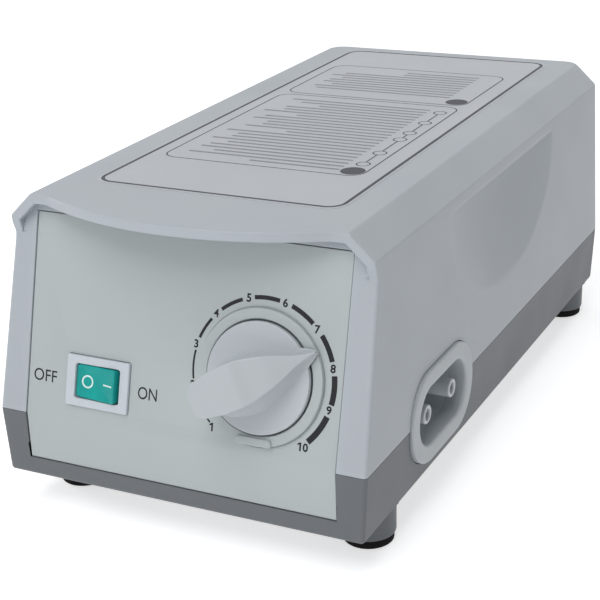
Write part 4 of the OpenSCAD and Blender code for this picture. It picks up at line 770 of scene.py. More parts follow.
def lower_side(bm, sgn):
    """One side of the lower shell. Gives its rows of vertices."""
    ys = [10.0, PORT_START, 40.0, 54.0, 68.0, PORT_END, 100.0, 150.0, 200.0]
    rows = []
    for z, d in LOWER_ROWS:
        x = lower_side_x(z) - d
        cols = lower_front(x, z, d)
        n_front = len(cols)
        cols += [Vector((x, y, z)) for y in ys]
        cols += rear_corner(x, BODY_L - d, REAR_R - d, z)
        rows.append(side_row(bm, cols, sgn))
    hole_a, hole_b = n_front + ys.index(PORT_START), n_front + ys.index(PORT_END)

    def skip(i, j):
        """The port's hole, and the change from the opening's side to the front under it."""
        in_hole = sgn > 0 and hole_a <= j < hole_b and i < LAST_FLAT_ROW
        return in_hole or (i == SILL_ROW - 1 and j < 5)

    grid(bm, rows, sgn, skip)
    above, below = rows[SILL_ROW - 1], rows[SILL_ROW]
    sided_face(bm, [above[4], below[4], below[5], above[5]], sgn)
    if sgn > 0:
        outline = [(lower_side_x(z), y, z) for y, z in reversed(port_outline(math.pi))]
        port_hole(bm, rows, len(SPLIT_EDGE) - 1, LAST_FLAT_ROW, hole_a, hole_b, outline)
    return rows


def rear_wall(bm, right, left):
    """Back of the lower shell with the inlet's hole."""
    first, last = len(SPLIT_EDGE) - 1, LAST_FLAT_ROW
    hole = row_of(bm, [(INLET[0] + sx * INLET_HALF_W, BODY_L, INLET[1] + sz * INLET_HALF_H)
                       for sx, sz in ((-1, -1), (1, -1), (1, 1), (-1, 1))])
    outer = [right[i][-1] for i in range(first, last + 1)]
    outer += [left[i][-1] for i in range(last, first - 1, -1)]
    fill(bm, [outer, hole], 0, 2)
    for i in (*range(first), *range(last, len(right) - 1)):
        face(bm, [right[i][-1], left[i][-1], left[i + 1][-1], right[i + 1][-1]])


def underside(bm, outline):
    """Underside with the feet's bosses, the screws' wells and the vents."""
    holes = []
    for places, profile, n in ((FEET, BOSS, 48), (SCREWS, WELL, 32)):
        for x, y in places:
            rows = [level_circle(x, y, FOOT_H + dz, r, n) for r, dz in profile]
            holes.append(row_of(bm, rows[0]))
            last = extend(bm, holes[-1], rows[1:])
            if profile is WELL:
                face(bm, last)
    for k in range(VENTS):
        x = (k - (VENTS - 1) / 2) * VENT_STEP
        shape = [(x + cx, VENT_Y + cy) for cx, cy in rounded(VENT_HALF_W, VENT_HALF_L, VENT_R, 4)]
        holes.append(row_of(bm, [(px, py, FOOT_H) for px, py in shape]))
        extend(bm, holes[-1], [[(px, py, FOOT_H + VENT_DEPTH) for px, py in shape]])
    fill(bm, [outline] + holes, 0, 1)


def build_lower():
    bm = bmesh.new()
    right, left = lower_side(bm, 1), lower_side(bm, -1)
    # Sill of the panel's opening
    sill = left[SILL_ROW][4:0:-1] + right[SILL_ROW][:5]
    extend(bm, sill, [[(v.co.x, OPENING_DEPTH, SILL_ROWS[0]) for v in sill]], False)
    rear_wall(bm, right, left)
    underside(bm, right[-1] + left[-1][:0:-1])
    merge_close(bm)
    finish_mesh(bm, "lower_shell", ["lower"], node="lower_housing",
                outside=(Vector((0, 110, 22)), lambda f: abs(f.calc_center_median().z - FOOT_H) < 0.01))


build_upper()
build_lower()


# Front panel: the rounding of its edge, and (how far out, how deep) down its sides
PANEL_ROUND = 0.25
PANEL_SIDES = ((0.15, 0.05), (0.22, 0.12), (PANEL_ROUND, 0.3), (PANEL_ROUND, 2.0))
# Raised ring round the dial, with a groove at its foot
RING_OUT, RING_IN, RING_H, RING_POINTS = 19.25, 16.15, 1.2, 96
GROOVE_OUT = RING_OUT + 0.32
RING_PROFILE = [(RING_OUT + 0.28, -0.18), (RING_OUT + 0.02, -0.18), (RING_OUT, 0.3),
                (RING_OUT - 0.05, RING_H - 0.4), (RING_OUT - 0.2, RING_H - 0.12), (RING_OUT - 0.5, RING_H),
                (RING_IN + 0.6, RING_H), (RING_IN + 0.25, RING_H - 0.08), (RING_IN, RING_H - 0.4),
                (RING_IN, -1.2), (9.0, -1.2)]
# Switch: half sizes of its bezel. The window is a shallow bed for it: half sizes, corner and height
BEZEL_HALF_W, BEZEL_HALF_L = 10.5, 7.5
WINDOW = [(BEZEL_HALF_W + 0.2, BEZEL_HALF_L + 0.2, 0.7, 0.0), (10.66, 7.66, 0.7, -0.1),
          (10.66, 7.66, 0.7, -1.1), (9.6, 6.6, 0.5, -1.1), (9.6, 6.6, 0.5, -2.1)]
# Oblong lug at the foot of the ring: half sizes, and (how far in, height) up its rounded edge
LUG_HALF_L, LUG_HALF_W = 5.5, 1.2
LUG_PROFILE = [(0.0, 0.0), (0.0, 1.45), (0.08, 1.75), (0.3, 1.95), (0.55, 2.0)]


def on_panel(place, shape, h=0.0):
    """A flat shape about a place on the panel, h above the panel's face."""
    return [front(place[0] + px, place[1] + py, h - INSET) for px, py in shape]


def panel_outline(grow, deep):
    """The panel's outline, grown from inside its rounded edge, deep under its face."""
    g = PANEL_ROUND - grow
    out = -INSET - deep
    # Where the slope meets the upright part
    fold = (out * math.tan(LEAN / 2) - out * SIN_L) / COS_L
    half = PANEL_HALF - g
    return [front(-half, PANEL_UP - g, out), front(-half, fold, out), Vector((-half, -out, PANEL_LOW + g)),
            Vector((half, -out, PANEL_LOW + g)), front(half, fold, out), front(half, PANEL_UP - g, out)]


def build_panel():
    bm = bmesh.new()
    edge = row_of(bm, panel_outline(0.0, 0.0))
    ring_foot = row_of(bm, on_panel(DIAL, circle(GROOVE_OUT, RING_POINTS)))
    window = [on_panel(SWITCH, rounded(hx, hy, r, 3), h) for hx, hy, r, h in WINDOW]
    window_edge = row_of(bm, window[0])
    fill(bm, [[edge[1], edge[4], edge[5], edge[0]], ring_foot, window_edge], 0, 2)
    extend(bm, ring_foot, [on_panel(DIAL, circle(r, RING_POINTS), h) for r, h in RING_PROFILE])
    extend(bm, window_edge, window[1:])
    # Upright part below the slope, then the rounded edges and the plate's thickness
    face(bm, [edge[1], edge[4], edge[3], edge[2]])
    extend(bm, edge, [panel_outline(grow, deep) for grow, deep in PANEL_SIDES])
    lug_at = (DIAL[0], DIAL[1] - (RING_OUT + RING_IN) / 2)
    shape = stadium(2 * LUG_HALF_L, 2 * LUG_HALF_W, 10, 2)
    rows = []
    for shrink, h in LUG_PROFILE:
        kx, ky = (LUG_HALF_L - shrink) / LUG_HALF_L, (LUG_HALF_W - shrink) / LUG_HALF_W
        rows.append(on_panel(lug_at, [(px * kx, py * ky) for px, py in shape], h))
    loft(bm, rows, cap_last=True)
    bmesh.ops.remove_doubles(bm, verts=bm.verts, dist=0.003)
    finish_mesh(bm, "panel_plate", ["panel"], node="front_panel",
                outside=(Vector((0, 60, 50)), lambda f: f.calc_area() > 200))


build_panel()


# Printed words and numbers
def text_mesh(body, height, width=None, bold=0.0):
    """Flat outline of a short generic word or number as (points, faces), centred, of the given size."""
    curve = bpy.data.curves.new("glyph_" + body, "FONT")
    curve.body = body
    curve.align_x = "CENTER"
    curve.align_y = "CENTER"
    curve.size = 1.0
    curve.resolution_u = 6
    curve.offset = bold
    temporary = add_object("glyph_" + body, curve)
    evaluated = temporary.evaluated_get(bpy.context.evaluated_depsgraph_get())
    mesh = bpy.data.meshes.new_from_object(evaluated)
    pts = [v.co.copy() for v in mesh.vertices]
    faces = [tuple(p.vertices) for p in mesh.polygons]
    bpy.data.objects.remove(temporary)
    bpy.data.curves.remove(curve)
    bpy.data.meshes.remove(mesh)
    x0, x1 = min(p.x for p in pts), max(p.x for p in pts)
    y0, y1 = min(p.y for p in pts), max(p.y for p in pts)
    ky = height / (y1 - y0)
    kx = width / (x1 - x0) if width else ky
    return [((p.x - (x0 + x1) / 2) * kx, (p.y - (y0 + y1) / 2) * ky) for p in pts], faces


def figure_one(height, stroke):
    """The figure 1: a bar with a slanting flag."""
    h, w = height / 2, stroke / 2
    flag = w + 0.62
    pts = [(w, -h), (w, h), (-w, h), (-flag, h - 0.42), (-flag, h - 0.86), (-w, h - 0.56), (-w, -h)]
    return pts, [(0, 1, 2, 5, 6), (2, 3, 4, 5)]


INK_H = 0.02


def add_print(bm, x, y, pts, faces):
    """Prints a shape about a place on the panel."""
    vs = row_of(bm, on_panel((x, y), pts, INK_H))
    for f in faces:
        face(bm, [vs[i] for i in f])


# The dial's numbers: middle and radius of their circle, each one's angle from the top, height and strokes
MARKS_AT, MARKS_R = (DIAL[0] + 0.15, DIAL[1] + 0.25), 21.8
MARKS = {1: -139.4, 2: -104.5, 3: -73.7, 4: -44.7, 5: -15.0, 6: 14.6, 7: 45.6, 8: 75.7, 9: 106.0, 10: 140.4}
MARK_H, ONE_STROKE, BOLD, BOLD_FOUR = 2.4, 0.52, 0.032, 0.018
# The ten stands farther out, with its figures beside each other: shifts of the 1s and of the nought
TEN_OUT, ONE_SHIFT, NOUGHT_SHIFT = 0.65, {1: 0.2, 10: -0.9}, 0.65
# The arcs between the numbers share their inner edge and widen outwards: (start, end, width)
ARCS_AT, ARCS_R, ARC_STEPS = (DIAL[0] + 0.2, DIAL[1] + 0.3), 21.1, 12
ARCS = [(-136, -111.5, 0.5), (-100.5, -78.5, 0.6), (-68.5, -50.5, 0.85), (-39.5, -20.5, 1.05),
        (-10.5, 10, 1.2), (20, 40.5, 1.35), (51, 71, 1.5), (81, 102, 1.65), (111, 135.5, 1.75)]
# The switch's words: (word, middle across the panel, width), their place up it, height and extra stroke
WORDS = [("OFF", -44.5, 8.0), ("ON", -9.55, 6.3)]
WORD_UP, WORD_H, WORD_BOLD = 12.1, 3.6, 0.004


def build_dial_print():
    bm = bmesh.new()
    for number, degrees in MARKS.items():
        a = math.radians(degrees)
        r = MARKS_R + TEN_OUT if number == 10 else MARKS_R
        x, y = MARKS_AT[0] + r * math.sin(a), MARKS_AT[1] + r * math.cos(a)
        if number in ONE_SHIFT:
            add_print(bm, x + ONE_SHIFT[number], y, *figure_one(MARK_H, ONE_STROKE))
        if number > 1:
            bold = BOLD_FOUR if number == 4 else BOLD
            shift = NOUGHT_SHIFT if number == 10 else 0.0
            add_print(bm, x + shift, y, *text_mesh(str(number % 10), MARK_H, bold=bold))
    for start, end, wide in ARCS:
        angles = [math.radians(start + (end - start) * i / ARC_STEPS) for i in range(ARC_STEPS + 1)]
        rows = [on_panel(ARCS_AT, [(r * math.sin(a), r * math.cos(a)) for a in angles], INK_H)
                for r in (ARCS_R, ARCS_R + wide)]
        loft(bm, rows, closed=False)
    finish_mesh(bm, "dial_print", ["ink"])


def build_switch_print():
    bm = bmesh.new()
    for word, x, width in WORDS:
        add_print(bm, x, WORD_UP, *text_mesh(word, WORD_H, width, WORD_BOLD))
    finish_mesh(bm, "switch_print", ["ink"])


build_dial_print()
build_switch_print()


# Knob: the disc's profile, and the grip's tail, the tail's round and the grip's tip along its length
DISC = [(15.3, 0.1), (15.6, 0.2), (15.72, 0.45), (15.72, 1.35), (15.55, 1.72), (15.1, 1.9)]
DISC_HOLE, DISC_POINTS = 7.5, 128
TAIL, TAIL_R, TIP = -14.8, 2.7, 19.7
# The grip's half width at its top and foot, and its height: (place along the grip, value)
TOP_W = [(-15.8, 4.4), (-13, 5.0), (-10, 5.55), (-6, 6.15), (-2, 6.3), (2, 6.0), (7.5, 4.55), (11, 3.2),
         (14, 1.8), (16.8, 0.85), (TIP, 0.12)]
FOOT_W = [(-15.8, 5.4), (-12, 7.1), (-8, 8.6), (-4, 9.2), (-0.7, 9.05), (3.3, 8.1), (7.65, 6.5), (11.8, 4.85),
          (14.9, 3.2), (17, 2.1), (19.2, 0.8), (TIP, 0.4)]
TOP_H = [(-15.8, 15.0), (-1.8, 13.4), (2.2, 11.7), (7.5, 9.6), (11, 7.7), (14.2, 6.0), (16.7, 4.7),
         (TIP, 3.1)]
# The grip's foot is sunk in the disc, and stands clear of the ring where it reaches over it
FOOT_SUNK, FOOT_CLEAR = 1.3, 1.55
GRIP_ROUND = 0.45
# The grip's rounded top edge: how much of the round is left across and down
GRIP_EDGE = [(0.08, 0.6), (0.3, 0.25), (0.65, 0.05), (1, 0)]


def knob_point(px, py, out):
    c, s = math.cos(-KNOB_REST), math.sin(-KNOB_REST)
    return front(DIAL[0] + px * c - py * s, DIAL[1] + px * s + py * c, out)


def slope_at(rows, k):
    """Slope of a listed curve at its k-th place."""
    a, b = rows[max(0, k - 1)], rows[min(len(rows) - 1, k + 1)]
    return (b[1] - a[1]) / (b[0] - a[0])


def smooth_value(at_place, rows):
    """Value between listed places, on a smooth curve through them."""
    if at_place <= rows[0][0]:
        return rows[0][1]
    for i in range(len(rows) - 1):
        (x0, y0), (x1, y1) = rows[i], rows[i + 1]
        if at_place <= x1:
            h = x1 - x0
            t = (at_place - x0) / h
            m0, m1 = slope_at(rows, i) * h, slope_at(rows, i + 1) * h
            return ((2 * t ** 3 - 3 * t ** 2 + 1) * y0 + (t ** 3 - 2 * t ** 2 + t) * m0
                    + (-2 * t ** 3 + 3 * t ** 2) * y1 + (t ** 3 - t ** 2) * m1)
    return rows[-1][1]


def grip_section(s, pinch):
    """Cross-section of the grip at s along it, narrowed by pinch."""
    top = max(0.1, smooth_value(s, TOP_W) - pinch)
    foot = max(top + 0.25, smooth_value(s, FOOT_W) - pinch)
    h = smooth_value(s, TOP_H)
    start = FOOT_SUNK if s < DISC[0][0] - 0.3 else FOOT_CLEAR
    soft = min(GRIP_ROUND, 0.5 * top)
    half = []
    for k in range(9):
        t = k / 8
        across = foot * (1 - t) ** 2 + top * (1 - (1 - t) ** 2)
        half.append((across, start + (h - soft - start) * (t + t * t) / 2))
    half += [(top - soft * across, h - soft * down) for across, down in GRIP_EDGE]
    return [knob_point(w, s, z) for w, z in half + [(-w, z) for w, z in reversed(half)]]


def build_knob():
    bm = bmesh.new()
    rows = [[knob_point(cx, cy, h) for cx, cy in circle(r, DISC_POINTS)]
            for r, h in [(DISC_HOLE, DISC[0][1])] + DISC]
    loft(bm, rows, cap_last=True)
    # Leaf-shaped grip, round at its tail
    stations = []
    for degrees in range(0, 90, 15):
        a = math.radians(degrees)
        stations.append((TAIL + TAIL_R * (1 - math.cos(a)), TAIL_R * (1 - math.sin(a))))
    stations += [(s, 0.0) for s in steps(TAIL + TAIL_R, TIP - 0.1, 0.65) + [TIP]]
    loft(bm, [grip_section(s, pinch) for s, pinch in stations], cap_first=True, cap_last=True)
    bmesh.ops.remove_doubles(bm, verts=bm.verts, dist=0.003)
    finish_mesh(bm, "dial_knob", ["knob"], "knob", 32, "control_knob")


build_knob()

# Rocker switch: the bezel's outer and inner profile as (half sizes, corner, height out of the slope)
BEZEL_TOP = 0.6
BEZEL = [(BEZEL_HALF_W, BEZEL_HALF_L, 0.5, -INSET - 1.0), (BEZEL_HALF_W, BEZEL_HALF_L, 0.5, BEZEL_TOP - 0.35),
         (10.44, 7.44, 0.5, BEZEL_TOP - 0.15), (10.3, 7.3, 0.45, BEZEL_TOP - 0.03),
         (10.1, 7.1, 0.4, BEZEL_TOP), (7.8, 5.4, 0.9, BEZEL_TOP), (7.62, 5.22, 0.85, BEZEL_TOP - 0.06),
         (7.53, 5.13, 0.8, BEZEL_TOP - 0.2), (7.5, 5.1, 0.8, BEZEL_TOP - 0.4), (7.5, 5.1, 0.8, -5.5)]
# Rocker: its pivot's height, its tilt at rest, half sizes, its ends' and foot's height, and its face's hollow
PIVOT_H = -2.0
ROCK = math.radians(-8)
ROCK_HALF_W, ROCK_HALF_L, ROCK_END_H, ROCK_FOOT_H, ROCK_DIP = 7.0, 4.9, 3.0, -4.0, 1.0
DIP_R = (ROCK_HALF_W ** 2 + ROCK_DIP ** 2) / (2 * ROCK_DIP)
ROCK_ROUND, FACE_STRIPS = 0.45, 12
# Rounded edge of its face: (how far in, how far down)
ROCK_EDGE = ((0.0, 0.45), (0.06, 0.2), (0.22, 0.06), (ROCK_ROUND, 0.0))
# The marks on it: their height over the face, the circle's place, points and radii, and the bar's sizes
MARK_LIFT = 0.015
RING_MARK_X, RING_MARK_POINTS, RING_MARK_R = -3.3, 40, (1.45, 1.6, 1.78, 1.95)
BAR_X, BAR_L, BAR_HALF_W = 2.5, 3.5, 0.23


def switch_point(px, py, out):
    return front(SWITCH[0] + px, SWITCH[1] + py, out)


def rocker_point(px, py, h):
    c, s = math.cos(ROCK), math.sin(ROCK)
    return switch_point(px * c + h * s, py, PIVOT_H - px * s + h * c)


def on_rocker(px, py, lift):
    """A point over the rocker's hollow face."""
    return rocker_point(px, py, ROCK_END_H - ROCK_DIP + DIP_R - math.sqrt(DIP_R ** 2 - px ** 2) + lift)


def build_bezel():
    bm = bmesh.new()
    rows = [[switch_point(px, py, h) for px, py in rounded(hx, hy, r)] for hx, hy, r, h in BEZEL]
    loft(bm, rows, cap_last=True)
    finish_mesh(bm, "switch_bezel", ["bezel"], node="rocker_frame",
                outside=(switch_point(0, 0, -20), lambda f: f.calc_area() > 1))


def build_rocker():
    bm = bmesh.new()
    shape = rounded(ROCK_HALF_W, ROCK_HALF_L, 1.0)

    def shrunk(by, k, lift):
        """The rocker's outline on its face, drawn in by a distance and then k times as large."""
        kx, ky = (ROCK_HALF_W - by) / ROCK_HALF_W, (ROCK_HALF_L - by) / ROCK_HALF_L
        return [on_rocker(px * kx * k, py * ky * k, lift) for px, py in shape]

    rows = [[rocker_point(px, py, ROCK_FOOT_H) for px, py in shape]]
    rows += [shrunk(by, 1, -drop) for by, drop in ROCK_EDGE]
    rows += [shrunk(ROCK_ROUND, 1 - k / FACE_STRIPS, 0) for k in range(1, FACE_STRIPS)]
    loft(bm, rows, cap_first=True, cap_last=True)
    finish_mesh(bm, "rocker_cap", ["rocker"], "rocker", 35, "rocker_button")


def build_rocker_marks():
    bm = bmesh.new()
    loft(bm, [[on_rocker(RING_MARK_X + cx, cy, MARK_LIFT) for cx, cy in circle(r, RING_MARK_POINTS)]
              for r in RING_MARK_R])
    xs = [BAR_X + BAR_L * i / 8 for i in range(9)]
    rows = [[on_rocker(px, py, MARK_LIFT) for px in xs] for py in (-BAR_HALF_W, 0.0, BAR_HALF_W)]
    loft(bm, rows, closed=False)
    finish_mesh(bm, "rocker_marks", ["mark"], "rocker", 35)


build_bezel()
build_rocker()
build_rocker_marks()

# Air port. The rim's profile: share of the way from its outline to the recess's, and height out of its face
RIM = [(0.0, -4.0), (0.0, -0.55), (0.012, -0.3), (0.04, -0.12), (0.08, -0.02), (0.13, 0.0), (0.5, 0.0),
       (0.8, 0.0), (0.88, -0.06), (0.94, -0.22), (0.98, -0.5), (1.0, -1.0), (1.01, -4.0), (1.01, -6.0)]
# The spouts: distance of each from the port's middle, places of their tips and collars, and (radius, place)
SPOUT_OFF = 9.9
SPOUT_TIP, COLLAR = PORT_X - 1.3, PORT_X - 19.0
SPOUT_BACK = [(2.2, COLLAR - 10.0), (2.2, COLLAR - 2.1), (5.0, COLLAR - 2.0), (5.0, COLLAR), (3.15, COLLAR),
              (3.15, COLLAR + 3.1), (2.97, COLLAR + 3.5), (2.9, COLLAR + 4.0)]
SPOUT_FRONT = [(2.88, SPOUT_TIP - 0.5), (2.8, SPOUT_TIP - 0.2), (2.6, SPOUT_TIP - 0.03), (2.35, SPOUT_TIP),
               (2.05, SPOUT_TIP - 0.05), (1.9, SPOUT_TIP - 0.25)]
SPOUT_BORE = [(1.85, SPOUT_TIP - 0.6), (1.8, COLLAR + 2.5)]


def build_rim():
    bm = bmesh.new()
    outlines = list(zip(stadium(PORT_L, PORT_H, 30, 8), stadium(RECESS_L, RECESS_H, 30, 8)))
    rows = []
    for v, x in RIM:
        row = [(a[0] + (b[0] - a[0]) * v, a[1] + (b[1] - a[1]) * v) for a, b in outlines]
        rows.append([(PORT_X + x, PORT_Y + py, PORT_Z + pz) for py, pz in row])
    loft(bm, rows)
    finish_mesh(bm, "port_rim", ["rim"], sharp=35, node="port_bezel",
                outside=(Vector((0, PORT_Y, PORT_Z)), lambda f: f.calc_center_median().x > PORT_X - 0.1))


def build_spout(place, y):
    bm = bmesh.new()
    profile = SPOUT_BACK + SPOUT_FRONT + SPOUT_BORE
    rows = [[(x, y + cy, PORT_Z + cz) for cy, cz in circle(r, 40)] for r, x in profile]
    # The tip is paler than the rest: its colour is a painted highlight on the spout's end
    mats = [0] * len(SPOUT_BACK) + [1] * len(SPOUT_FRONT) + [0] * len(SPOUT_BORE)
    loft(bm, rows, cap_last=True, mats=mats)
    finish_mesh(bm, "spout_" + place, ["recess", "tip"], sharp=35, node="nozzle_" + place)


build_rim()
build_spout("front", PORT_Y - SPOUT_OFF)
build_spout("rear", PORT_Y + SPOUT_OFF)

# Feet: a pad's (radius, height)
PAD = [(6.6, 0.0), (7.1, 0.08), (7.4, 0.35), (7.5, 0.8), (7.5, PAD_H - 0.45), (7.4, PAD_H - 0.15),
       (7.1, PAD_H)]


def build_pad(place, x, y):
    bm = bmesh.new()
    loft(bm, [level_circle(x, y, z, r, 64) for r, z in PAD], cap_first=True, cap_last=True)
    finish_mesh(bm, "pad_" + place, ["rubber"], sharp=35, node="foot_" + place)


for pad_place, (pad_x, pad_y) in zip(("front_left", "rear_left", "front_right", "rear_right"), FEET):
    build_pad(pad_place, pad_x, pad_y)

# Top label: half width, front and rear ends, corners, (how far in, height over the top) up its edge, and the
# print's height over the top
LABEL_HALF_W, LABEL_FRONT, LABEL_REAR, LABEL_R = 40.5, 29.0, 215.6, 6
LABEL_EDGE = ((0.0, 0.0), (0.0, 0.06), (0.06, 0.1))
LABEL_PRINT_H = 0.115
# Its dark outline, and two frames: (middle along the case, half length). Frames keep a corner for a spot
BORDER_HALF_W, BORDER_Y, BORDER_HALF_L, BORDER_R, BORDER_LINE = 39.75, 122.5, 92.5, 5.5, 1.1
FRAMES, FRAME_X, FRAME_HALF_W, FRAME_R, FRAME_LINE = ((101.0, 42.0), (167.5, 22.5)), -0.85, 33.75, 5.0, 0.5
# Spots and steps on a line near the right edge
SPOT_X, SPOT_IN, SPOT_R = 28.4, 5.0, 3.8
STEPS, STEP_R, STEP_HOLE, STEP_LINE = (71.5, 84.0, 100.0, 108.0, 121.0, 134.5), 2.3, 1.85, 0.25
# Ruled lines where the instructions are: their right end, spacing, thickness and the two blocks' first lines
RULE_X, RULE_STEP, RULE_HALF = 24.0, 3.3, 0.65
RULES_NEAR, RULES_NEAR_COUNT, RULES_FAR, RULES_FAR_COUNT = 64.0, 23, 155.0, 10
# Lengths of the near block's short lines by their place. The others vary by a sine about RULE_L
SHORT_RULES = {64.0: 30.0, 95.5: 34.0, 103.0: 46.0, 116.5: 40.0, 129.5: 38.0, 139.0: 30.0}
RULE_L, RULE_VARY, RULE_WAVE = 50.0, 4.0, 2.3
# The far block's lines start near FAR_X, and from HALF_RULES_Y on they are half as long
FAR_X, FAR_VARY, HALF_RULES_Y, HALF_RULE_X = -27.0, 3.0, 180, -4.0


def build_film():
    bm = bmesh.new()
    middle, half_l = (LABEL_FRONT + LABEL_REAR) / 2, (LABEL_REAR - LABEL_FRONT) / 2
    rows = []
    for shrink, h in LABEL_EDGE:
        shape = rounded(LABEL_HALF_W - shrink, half_l - shrink, LABEL_R - shrink, 8)
        rows.append([(px, middle + py, TOP + h) for px, py in shape])
    loft(bm, rows, cap_last=True)
    finish_mesh(bm, "label_film", ["film"], node="top_label",
                outside=(Vector((0, middle, 0)), lambda f: f.calc_area() > 100))


def build_label_print():
    bm = bmesh.new()
    z = TOP + LABEL_PRINT_H

    def frame_line(cx, cy, half_x, half_y, r, wide):
        shapes = rounded(half_x, half_y, r, 8), rounded(half_x - wide, half_y - wide, max(0.1, r - wide), 8)
        loft(bm, [[(cx + px, cy + py, z) for px, py in shape] for shape in shapes])

    def bar(xa, xb, ya, yb, mat=0):
        face(bm, row_of(bm, [(xa, ya, z), (xb, ya, z), (xb, yb, z), (xa, yb, z)]), mat)

    frame_line(0, BORDER_Y, BORDER_HALF_W, BORDER_HALF_L, BORDER_R, BORDER_LINE)
    for middle, half_l in FRAMES:
        frame_line(FRAME_X, middle, FRAME_HALF_W, half_l, FRAME_R, FRAME_LINE)
        face(bm, row_of(bm, level_circle(SPOT_X, middle - half_l + SPOT_IN, z, SPOT_R, 32)))
    for y in STEPS:
        loft(bm, [level_circle(SPOT_X, y, z, r, 32) for r in (STEP_R, STEP_HOLE)])
    for ya, yb in zip(STEPS, STEPS[1:]):
        bar(SPOT_X - STEP_LINE, SPOT_X + STEP_LINE, ya + STEP_R, yb - STEP_R)
    for k in range(RULES_NEAR_COUNT):
        y = RULES_NEAR + RULE_STEP * k
        listed = [length for key, length in SHORT_RULES.items() if abs(key - y) < RULE_STEP / 2 + 0.05]
        length = min(listed, default=RULE_L + RULE_VARY * math.sin(RULE_WAVE * k))
        bar(RULE_X - length, RULE_X, y - RULE_HALF, y + RULE_HALF, 1)
    for k in range(RULES_FAR_COUNT):
        y = RULES_FAR + RULE_STEP * k
        start = FAR_X - FAR_VARY * math.sin(RULE_WAVE * k) if y < HALF_RULES_Y else HALF_RULE_X
        bar(start, RULE_X, y - RULE_HALF, y + RULE_HALF, 1)
    finish_mesh(bm, "label_print", ["label_ink", "label_grey"])


build_film()
build_label_print()

# CAD nodes that stay, by material, and the width in millimetres of the edges that are softened
KEEP = {
    "recess": "port_cup",
    "hook": "hanger_left hanger_right hanger_bracket_left hanger_bracket_right",
    "steel": "hanger_pins housing_screws regulator_spindle arm_pivot_pins timer_motor distributor_spring",
    "black": "inlet_body",
    "brass": "inlet_pins switch_terminals regulator_nut",
    "board": "terminal_board",
    "glass": "fuse",
    "wire": "wiring",
    "inner": "regulator_body coil_bobbin swing_arm_left swing_arm_right pump_head_left pump_head_right"
             " valve_cover_left valve_cover_right distributor_base distributor_cover",
    "plate": "pump_frame",
    "rubber": "isolator_front_left isolator_front_right isolator_rear_left isolator_rear_right"
              " diaphragm_left diaphragm_right",
    "iron": "laminated_core arm_magnet_left arm_magnet_right",
    "copper": "coil_winding",
    "rotor": "distributor_rotor",
    "hose": "hose_pump_left hose_pump_right hose_regulator hose_outlet_front hose_outlet_rear",
}
SOFT_EDGE = {"hanger_left": 0.5, "hanger_right": 0.5, "hanger_bracket_left": 0.4, "hanger_bracket_right": 0.4,
             "inlet_body": 0.3, "housing_screws": 0.15}


def dress_node(obj, mat):
    if not obj.material_slots:
        obj.data.materials.append(mat)
    for slot in obj.material_slots:
        slot.link = "OBJECT"
        slot.material = mat


def soften_edges(obj, width):
    obj.modifiers.new("weld", "WELD").merge_threshold = 0.000005
    soft = obj.modifiers.new("soft_edge", "BEVEL")
    soft.width = width * MM
    soft.segments = 3
    soft.limit_method = "ANGLE"
    soft.angle_limit = math.radians(40)
    soft.harden_normals = False
    even_shading(obj)


for kept_mat, kept_nodes in KEEP.items():
    for kept_node in kept_nodes.split():
        dress_node(NODES[kept_node], M[kept_mat])
for soft_node, soft_width in SOFT_EDGE.items():
    soften_edges(NODES[soft_node], soft_width)

# Floor and light, in metres. Lamps: name, place, height of the target above the middle, size and power
FLOOR_HALF = 6.0
LAMPS = [
    ("top_soft", (0, 0.2, 1.4), 0.05, 1.2, 4.0),
    ("front_high", (-0.02, -0.8, 1.3), 0.04, 0.9, 8.8),
    ("front_left", (-0.35, -1.1, 0.9), 0.04, 0.9, 2.8),
    ("front_low", (-0.1, -1.0, 0.3), 0.04, 0.6, 0.6),
    ("left_low", (-1.2, 0.2, 0.4), 0.04, 0.7, 4.0),
    ("rear_right", (0.6, 1.1, 0.8), 0.05, 0.8, 1.7),
]


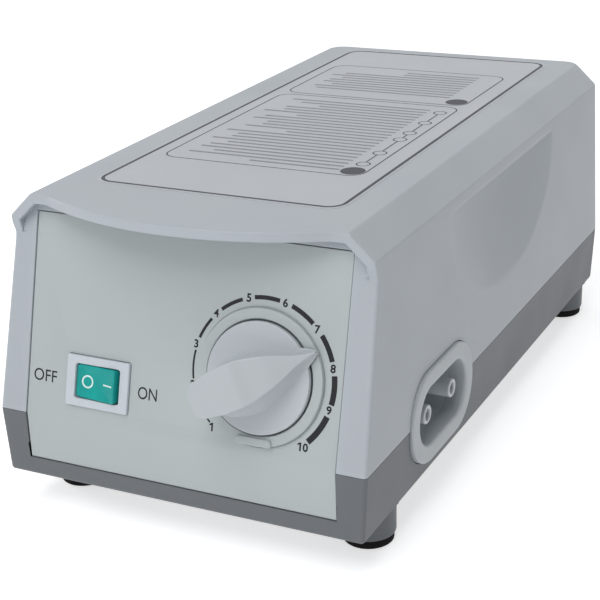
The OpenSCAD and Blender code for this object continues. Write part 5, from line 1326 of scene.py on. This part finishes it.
def studio_white():
    """White that glows like a lit table, and more towards the camera where it is far from the lamps."""
    mat, nt, shader, coords = new_material("studio_white")
    nt.nodes.remove(shader)
    diffuse = add_node(nt, "BsdfDiffuse", {
        "Color": ramp(nt, noise(nt, coords, 3), (0.79, 0.79, 0.8, 1), (0.8, 0.8, 0.81, 1))})
    away = worked_out(nt, "VectorMath", "LENGTH", {0: coords})["Value"]
    far = add_node(nt, "MapRange", {
        "Value": away, "From Min": 0.6, "From Max": 2.4, "To Min": 0.12, "To Max": 0.6})
    seen = add_node(nt, "LightPath").outputs["Is Camera Ray"]
    strength = worked_out(nt, "Math", "MULTIPLY_ADD", {0: seen, 1: far.outputs["Result"], 2: 0.5})[0]
    glow = add_node(nt, "Emission", {"Strength": strength})
    both = add_node(nt, "AddShader", {0: diffuse.outputs[0], 1: glow.outputs[0]})
    feed(nt, nt.nodes["Material Output"], {"Surface": both.outputs[0]})
    return mat


def build_floor():
    mesh = bpy.data.meshes.new("studio_floor")
    corners = [(sx * FLOOR_HALF, sy * FLOOR_HALF, 0) for sx, sy in ((-1, -1), (1, -1), (1, 1), (-1, 1))]
    mesh.from_pydata(corners, [], [(0, 1, 2, 3)])
    mesh.materials.append(studio_white())
    add_object("studio_floor", mesh)


def build_world():
    """White where it is seen, directly, in gloss or through glass, and a faint cool light on the object."""
    world = bpy.data.worlds.new("studio")
    bpy.context.scene.world = world
    world.use_nodes = True
    nt = world.node_tree
    nt.nodes.clear()
    ambient = add_node(nt, "Background", {"Color": (0.93, 0.96, 1.0, 1), "Strength": 0.14})
    white = add_node(nt, "Background", {"Color": (1, 1, 1, 1), "Strength": 1.0})
    rays = add_node(nt, "LightPath").outputs
    seen = rays["Is Camera Ray"]
    for other in ("Is Glossy Ray", "Is Transmission Ray"):
        seen = worked_out(nt, "Math", "MAXIMUM", {0: seen, 1: rays[other]})[0]
    mix = add_node(nt, "MixShader", {"Fac": seen, 1: ambient.outputs[0], 2: white.outputs[0]})
    add_node(nt, "OutputWorld", {"Surface": mix.outputs[0]})


def build_lamp(name, place, target_z, size, power):
    data = bpy.data.lights.new(name, "AREA")
    data.shape = "SQUARE"
    data.size = size
    data.energy = power
    lamp = add_object(name, data)
    lamp.location = place
    way = Vector((0, 0, target_z)) - Vector(place)
    lamp.rotation_euler = way.to_track_quat("-Z", "Y").to_euler()


build_floor()
build_world()
for lamp_values in LAMPS:
    build_lamp(*lamp_values)
